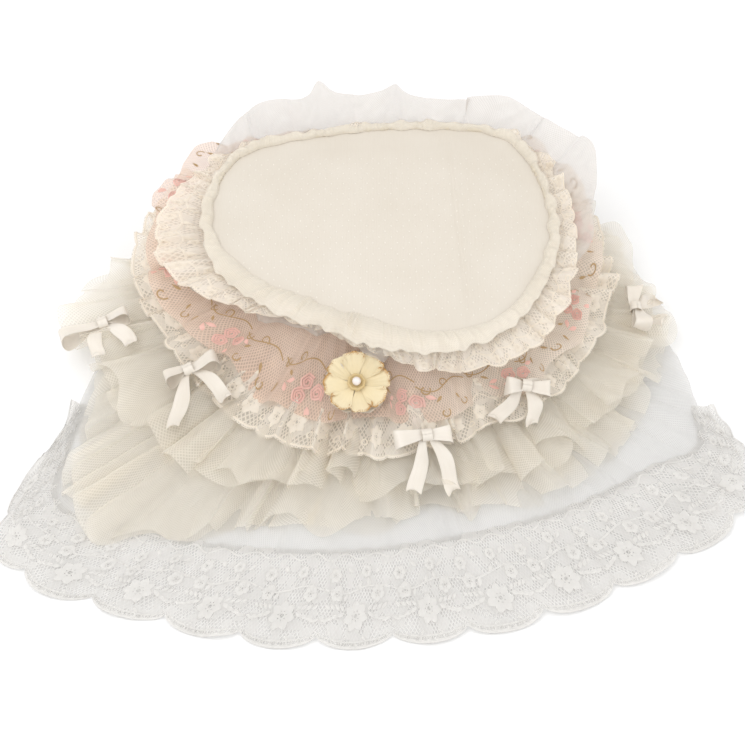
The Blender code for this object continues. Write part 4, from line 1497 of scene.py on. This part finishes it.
@dataclass
class Bow:
    """A tied satin bow in the place of its CAD loops, tails and knot.

    Attributes:
        name: Its name in the CAD nodes.
        seed: For the random draw.
        tail: How much longer than the CAD tails the ribbon ends are, as a share.
        lop: How much bigger than the other one loop is, as a share.
        wide: Width of the ribbon.
        thick: Thickness of the ribbon.
        rng: The random draw.
        centre: Where the knot is.
        along: The way from one loop to the other.
        down: The way that the tails hang.
        up: The way out of the bow.
        reach: From the knot to the end of a loop.
        drop: From the knot to the end of a tail.
    """

    name: str
    seed: int
    tail: float
    lop: float
    wide: float = 0.011
    thick: float = 0.00025
    rng: np.random.Generator = field(init=False)
    centre: Points = field(init=False)
    along: Points = field(init=False)
    down: Points = field(init=False)
    up: Points = field(init=False)
    reach: float = field(init=False)
    drop: float = field(init=False)

    def __post_init__(self) -> None:
        """Read the bow's place off its CAD nodes."""
        self.rng = np.random.default_rng(self.seed)
        loops = self._points("loops")
        self.centre = self._points("knot").mean(0)
        spread = np.linalg.svd(loops - loops.mean(0), full_matrices=False)[2]
        self.along, self.up = spread[0], spread[2]
        if self.up[2] < 0:
            self.up = -self.up
        tails = self._points("tails")
        down = tails.mean(0) - self.centre
        down -= self.up * (down @ self.up) + self.along * (down @ self.along)
        self.down = down / np.linalg.norm(down)
        self.reach = float(np.abs((loops - self.centre) @ self.along).max())
        self.drop = float(((tails - self.centre) @ self.down).max())

    def _points(self, part: str) -> Points:
        """Corners of one of the bow's CAD nodes."""
        return np.array([v.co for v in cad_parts[f"{self.name}_{part}"].data.vertices])

    def _place(self, x: Points, y: Points, z: Points) -> Points:
        """Turn places in the bow's own plane into the row's frame."""
        return self.centre + x[..., None] * self.along + y[..., None] * self.down + z[..., None] * self.up

    @staticmethod
    def _ribbon(line: Points, across: Points, widths: Points, cup: float) -> Points:
        """Draw a ribbon.

        Args:
            line: Its middle line.
            across: The way across it at each place of the line.
            widths: Its width at each place.
            cup: How far its middle stands out.

        Returns:
            A grid of places, 7 of them across the ribbon.
        """
        s = np.linspace(-0.5, 0.5, 7)
        grid = line[:, None, :] + across[:, None, :] * (widths[:, None, None] * s[None, :, None])
        grid[..., 2] += cup * (1 - (2 * s[None, :]) ** 2)
        return grid

    def _join(self, name: str, grids: list[Points], flat: tuple[float, float], held: str,
              *nodes: str) -> None:
        """Args:
            name: The piece's name.
            grids: The ribbons, in the bow's own plane.
            flat: Width and length of the flat ribbon; not used.
            held: How it is held; not used.
            nodes: The CAD nodes that it stands for.
        """
        points, faces, uvs, base = [], [], [], 0
        for local in grids:
            n, m = local.shape[:2]
            world = self._place(local[..., 0], local[..., 1], local[..., 2])
            points.append(world.reshape(-1, 3))
            run = np.r_[0, np.cumsum(np.linalg.norm(np.diff(world[:, m // 2], axis=0), axis=1))]
            for corners in patch_quads(n, m):
                faces.append([base + a * m + b for a, b in corners])
                uvs += [(run[a], self.wide * b / (m - 1)) for a, b in corners]
            base += n * m
        piece = mesh_piece(name, np.concatenate(points), faces, np.array(uvs), SATIN)
        soften(piece, self.thick)
        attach(piece, "root")
        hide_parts(*nodes)

    @staticmethod
    def _run(line: Points) -> float:
        """Length of a line of places."""
        return float(np.linalg.norm(np.diff(line, axis=0), axis=1).sum())

    def build(self) -> None:
        """Make the two loops, the tails and the knot."""
        grids, length = [], 0.0
        for hand in (-1, 1):
            t = np.linspace(0, 1, 25)
            size = 1 + hand * self.lop / 2
            out = self.reach * size * np.sin(np.pi * t) ** 0.75
            height = 0.0062 * size * np.sin(2 * np.pi * t) * np.sin(np.pi * t) ** 0.5 + 0.0052
            sway = 0.0016 * np.sin(np.pi * t + self.rng.uniform(-1, 1)) + 0.001 * hand
            line = np.stack([hand * out, sway, height], axis=1)
            widths = self.wide * (0.42 + 0.78 * np.sin(np.pi * t) ** 0.6)
            lean = np.radians(18 * np.sin(2 * np.pi * t) + self.rng.uniform(-8, 8))
            across = np.stack([np.zeros_like(t), np.cos(lean), np.sin(lean)], axis=1)
            grids.append(self._ribbon(line, across, widths, -0.0006))
            length += self._run(line)
        self._join(f"{self.name}_satin_loops", grids, (self.wide, round(length, 3)), "folded",
                   f"{self.name}_loops")
        grids, length = [], 0.0
        for hand in (-1, 1):
            t = np.linspace(0, 1, 22)
            drop = self.drop * (1 + self.tail * self.rng.uniform(0.6, 1.1))
            curl = 0.0040 * np.sin(np.pi * (1.9 * t + self.rng.uniform(0, 0.6))) * t
            sway = 0.0035 * np.sin(np.pi * (1.5 * t + self.rng.uniform(0, 1))) * t
            x = hand * (0.002 + drop * self.rng.uniform(0.28, 0.55) * t ** 0.8) + sway
            line = np.stack([x, 0.001 + drop * t, 0.0022 + curl], axis=1)
            twist = np.radians(hand * 24 * np.sin(1.3 * np.pi * t))
            across = unit(np.stack([np.cos(twist), -0.42 * hand * np.ones_like(t), np.sin(twist)], axis=1))
            widths = self.wide * np.minimum(0.35 + 1.6 * t, 1.0)
            grid = self._ribbon(line, across, widths, 0.0005)
            notch = 1 - np.abs(np.linspace(-1, 1, 7))
            grid[-1, :, 1] -= notch * self.wide * 0.45
            grids.append(grid)
            length += self._run(line)
        self._join(f"{self.name}_satin_tails", grids, (self.wide, round(length, 3)), "draped",
                   f"{self.name}_tails")
        turn = np.linspace(0, 2 * np.pi, 25)
        line = np.stack([np.zeros(25), 0.0042 * np.sin(turn), 0.0044 + 0.0036 * np.cos(turn)], axis=1)
        across = np.broadcast_to(np.array([[1.0, 0.0, 0.0]]), (25, 3))
        grid = self._ribbon(line, across, np.full(25, 0.0072), 0.0)
        grid[..., 2] += 0.0003 * np.sin(np.linspace(0, 4 * np.pi, 7))[None, :]
        self._join(f"{self.name}_satin_knot", [grid], (0.0105, 0.021), "folded", f"{self.name}_knot")
        LOG.info("%s: loops %.0f mm", self.name, 2000 * self.reach)


# ------------------------------------------------------------------ the flower


@dataclass
class FabricFlower:
    """The fabric flower: felt backing, two rings of pressed petals, a rolled cup and a pearl.

    Attributes:
        ivory: How many petals the lower ring has.
        gilt: How many the upper ring has.
        thick: Thickness of a petal.
        up: The way that the flower faces.
        side: Its own right.
        back: Its own back.
        base: Middle of its backing.
        radius: Its radius.
        pearl: The pearl's radius.
        level: Height of each layer over the backing.
    """

    ivory: int = 5
    gilt: int = 8
    thick: float = 0.00035
    up: Vector = field(init=False)
    side: Vector = field(init=False)
    back: Vector = field(init=False)
    base: Vector = field(init=False)
    radius: float = field(init=False)
    pearl: float = field(init=False)
    level: dict[str, float] = field(init=False)

    def __post_init__(self) -> None:
        """Read the flower's place, lean and size off its CAD nodes."""
        self.base = self._middle("flower_backing")
        self.up = (self._middle("flower_pearl") - self.base).normalized()
        self.back = self.up.cross(Vector((1, 0, 0))).normalized()
        self.side = self.back.cross(self.up)
        self.radius = self._radius("flower_upper_petals")
        self.pearl = self._radius("flower_pearl")
        self.level = {part: (self._middle(f"flower_{part}") - self.base).dot(self.up)
                      for part in ("lower_petals", "upper_petals", "cup", "pearl")}

    @staticmethod
    def _radius(node: str) -> float:
        """Half the width of a CAD node's box."""
        lo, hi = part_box(node)
        return (hi.x - lo.x) / 2

    @staticmethod
    def _middle(node: str) -> Vector:
        """Middle of a CAD node's box."""
        lo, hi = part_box(node)
        return (lo + hi) / 2

    def _place(self, x: Points, y: Points, z: Points) -> Points:
        """Turn places in the flower's own frame into the row's frame."""
        return (np.array(self.base) + x[..., None] * np.array(self.side)
                + y[..., None] * np.array(self.back) + z[..., None] * np.array(self.up))

    def _petals(self, name: str, node: str, petals: int, level: float, cup: float, lap: float,
                finish: Finish, turn: float, seed: int) -> None:
        """Make one ring of cupped, overlapping petals.

        Args:
            name: The piece's name.
            node: The CAD node that it stands for.
            petals: How many there are.
            level: Height over the backing.
            cup: How far the petals' rims stand up.
            lap: How wide a petal is beside its share of the circle.
            finish: Its cloth.
            turn: Where the first petal is, in degrees.
            seed: For the random draw.
        """
        rng = np.random.default_rng(seed)
        n, m = 17, 12
        points, faces, uvs = [], [], []
        for k in range(petals):
            size = self.radius * rng.uniform(0.93, 1.0)
            middle = math.radians(turn + 360 * (k + rng.uniform(-0.08, 0.08)) / petals)
            half = math.pi / petals * lap
            a = np.linspace(-1, 1, n)[:, None]
            s = np.linspace(0, 1, m)[None, :]
            rim = (1 - 0.20 * np.abs(a) ** 4) * (1 + 0.02 * np.sin(9 * a + k))
            reach = size * (0.16 + (rim - 0.16) * s)
            angle = middle + half * a * (0.75 + 0.25 * s)
            tilt = 0.0006 * a * ((k % 2) * 2 - 1)
            height = level + cup * s**2.2 * (0.75 + 0.35 * a**2) - 0.0012 * np.sin(np.pi * s) + tilt
            height = height + 0.0005 * np.sin(14 * a + 2 * k) * s**2 + 0.00035 * (k % 3)
            base = len(points) * n * m
            points.append(self._place(reach * np.cos(angle), reach * np.sin(angle), height).reshape(-1, 3))
            for corners in patch_quads(n, m):
                faces.append([base + p * m + q for p, q in corners[::-1]])
                uvs += [(p / (n - 1), self._rim_share(p / (n - 1), q / (m - 1))) for p, q in corners[::-1]]
        piece = mesh_piece(name, np.concatenate(points), faces, np.array(uvs), finish)
        soften(piece, self.thick)
        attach(piece, "root")
        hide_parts(node)

    @staticmethod
    def _rim_share(across: float, out: float) -> float:
        """How near a place on a petal is to its rim, its sides included: 0 to 1."""
        return max(out, abs(2 * across - 1) ** 12 * 0.84 * out)

    def build(self) -> None:
        """Make every layer of the flower."""
        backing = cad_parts["flower_backing"]
        backing.data.materials.clear()
        backing.data.materials.append(FELT.material())
        self._petals("flower_ivory_petals", "flower_lower_petals", self.ivory, self.level["lower_petals"],
                     0.0015, 1.05, PETAL_IVORY, 20, 3)
        self._petals("flower_gilt_petals", "flower_upper_petals", self.gilt,
                     self.level["upper_petals"] + 0.0008, 0.0034, 1.22, GiltPetal(), 8, 4)
        self._cup()
        self._bead()
        LOG.info("flower: %.0f mm across", 2000 * self.radius)

    def _turned(self, name: str, profile: Sequence[tuple[float, float]], steps: int, ripple: float,
                finish: Finish) -> bpy.types.Object:
        """Turn a profile round the flower's axis, and close it at the axis.

        Args:
            name: The piece's name.
            profile: Distances from the axis and heights, from one end on the axis to the other.
            steps: How finely it is turned.
            ripple: How much it waves on its way round, as a share.
            finish: Its finish.

        Returns:
            The piece.
        """
        turn = np.linspace(0, 2 * np.pi, steps, endpoint=False)
        line = np.array(profile)
        inner = line[1:-1]
        wave = 1 + ripple * np.sin(8 * turn)[:, None]
        r = inner[:, 0][None, :] * wave
        grid = self._place(r * np.cos(turn)[:, None], r * np.sin(turn)[:, None],
                           np.broadcast_to(inner[:, 1][None, :], r.shape).copy())
        ends = self._place(np.zeros(2), np.zeros(2), np.array([line[0, 1], line[-1, 1]]))
        m = len(inner)
        points = np.concatenate([grid.reshape(-1, 3), ends])
        faces = []
        for i in range(steps):
            j = (i + 1) % steps
            faces += [(i * m + k, j * m + k, j * m + k + 1, i * m + k + 1) for k in range(m - 1)]
            faces.append((j * m, i * m, steps * m))
            faces.append((i * m + m - 1, j * m + m - 1, steps * m + 1))
        uv = np.array([(0.3, 0.5)] * sum(len(f) for f in faces))
        return mesh_piece(name, points, faces, uv, finish)

    def _cup(self) -> None:
        """Make the rolled ring of cloth round the pearl."""
        radius = self._radius("flower_cup")
        base = self.level["cup"] - 0.0012
        profile = [(radius * out, base + rise) for out, rise in (
            (0, 0), (0.7, 0), (1, 0.0008), (1.02, 0.0022), (0.92, 0.0034), (0.74, 0.0030), (0.62, 0.0016),
            (0.3, 0.0012), (0, 0.0012))]
        piece = self._turned("flower_rolled_cup", profile, 48, 0.05, PETAL_CUP)
        soften(piece)
        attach(piece, "root")
        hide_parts("flower_cup")

    def _bead(self) -> None:
        """Make the pearl in the middle."""
        level = self.level["pearl"]
        bends = np.linspace(-np.pi / 2, np.pi / 2, 18)
        profile = [(self.pearl * math.cos(b), level + self.pearl * math.sin(b)) for b in bends]
        piece = self._turned("flower_pearl_bead", profile, 32, 0.0, PearlBead())
        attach(piece, "root")
        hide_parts("flower_pearl")


# ------------------------------------------------------------------ the studio


@dataclass(frozen=True)
class Studio:
    """A white floor, soft lights all round and the camera.

    Attributes:
        camera_place: Where the camera stands.
        camera_tilt: How far it is tilted up from looking straight down, in degrees.
        lens: Its focal length in millimetres, with a sensor 36 mm wide.
        sky: Strength of the white light all round.
        lamps: Name, place, size and power of each softbox.
        aim: What the softboxes face.
        floor: Half the width of the floor, and its height.
        paper: How light the floor is.
        clear: How many clear surfaces a ray may pass; the sheer layers lie many deep.
    """

    camera_place: tuple[float, float, float] = (-0.00875, -0.78551, 0.93066)
    camera_tilt: float = 38.0
    lens: float = 79.386
    sky: float = 1.0
    lamps: tuple[tuple[str, tuple[float, float, float], float, float], ...] = (
        ("key_softbox", (-0.55, -0.35, 1.25), 0.9, 4.5),
        ("fill_softbox", (0.9, -0.6, 0.9), 1.0, 2.0),
    )
    aim: tuple[float, float, float] = (0, -0.05, 0.03)
    floor: tuple[float, float] = (3.0, -0.0002)
    paper: float = 0.93
    clear: int = 24

    def build(self) -> None:
        """Set up the studio."""
        scene = bpy.context.scene
        camera = bpy.data.objects.new("camera", bpy.data.cameras.new("camera"))
        camera.location = self.camera_place
        camera.rotation_euler = (math.radians(self.camera_tilt), 0, 0)
        camera.data.lens, camera.data.sensor_width = self.lens, 36.0
        scene.collection.objects.link(camera)
        scene.camera = camera
        scene.view_settings.view_transform = "Standard"
        scene.cycles.transparent_max_bounces = self.clear
        world = bpy.data.worlds.new("studio")
        world.use_nodes = True
        background = world.node_tree.nodes["Background"]
        background.inputs[0].default_value = (1, 1, 1, 1)
        background.inputs[1].default_value = self.sky
        scene.world = world
        for name, place, size, power in self.lamps:
            self._light(name, place, size, power)
        size, level = self.floor
        mesh = bpy.data.meshes.new("floor")
        corners = ((-size, -size), (size, -size), (size, size), (-size, size))
        mesh.from_pydata([(x, y, level) for x, y in corners], [], [(0, 1, 2, 3)])
        paper = bpy.data.materials.new("studio_paper")
        paper.use_nodes = True
        shader = paper.node_tree.nodes["Principled BSDF"]
        shader.inputs["Base Color"].default_value = (self.paper, self.paper, self.paper, 1)
        shader.inputs["Roughness"].default_value = 1.0
        shader.inputs["Specular IOR Level"].default_value = 0.0
        mesh.materials.append(paper)
        floor = bpy.data.objects.new("floor", mesh)
        scene.collection.objects.link(floor)

    def _light(self, name: str, place: tuple[float, float, float], size: float, power: float) -> None:
        """Hang a square softbox that faces the object.

        Args:
            name: Its name.
            place: Where it hangs.
            size: Its width.
            power: Its power in watts.
        """
        data = bpy.data.lights.new(name, "AREA")
        data.shape, data.size, data.energy = "SQUARE", size, power
        lamp = bpy.data.objects.new(name, data)
        lamp.location = place
        lamp.rotation_euler = (Vector(self.aim) - Vector(place)).to_track_quat("-Z", "Y").to_euler()
        bpy.context.scene.collection.objects.link(lamp)


# Name of each bow, how much longer its tails are and how much bigger one loop is.
BOWS = (("bow_left", 0.3, 0.5), ("bow_left_front", 0.5, 0.2), ("bow_front", 0.5, -0.3),
        ("bow_right", 0.3, -0.15), ("bow_far_right", 0.1, 0.0))
BOW_SEED = 90


def main() -> None:
    """Build the studio and the pillow."""
    logging.basicConfig(level=logging.INFO, format="%(message)s")
    Studio().build()
    Pad().build()
    Skirt().build()
    for index, (name, tail, lop) in enumerate(BOWS):
        Bow(name, BOW_SEED + index, tail, lop).build()
    FabricFlower().build()
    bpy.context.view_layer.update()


if __name__ == "__main__":
    main()
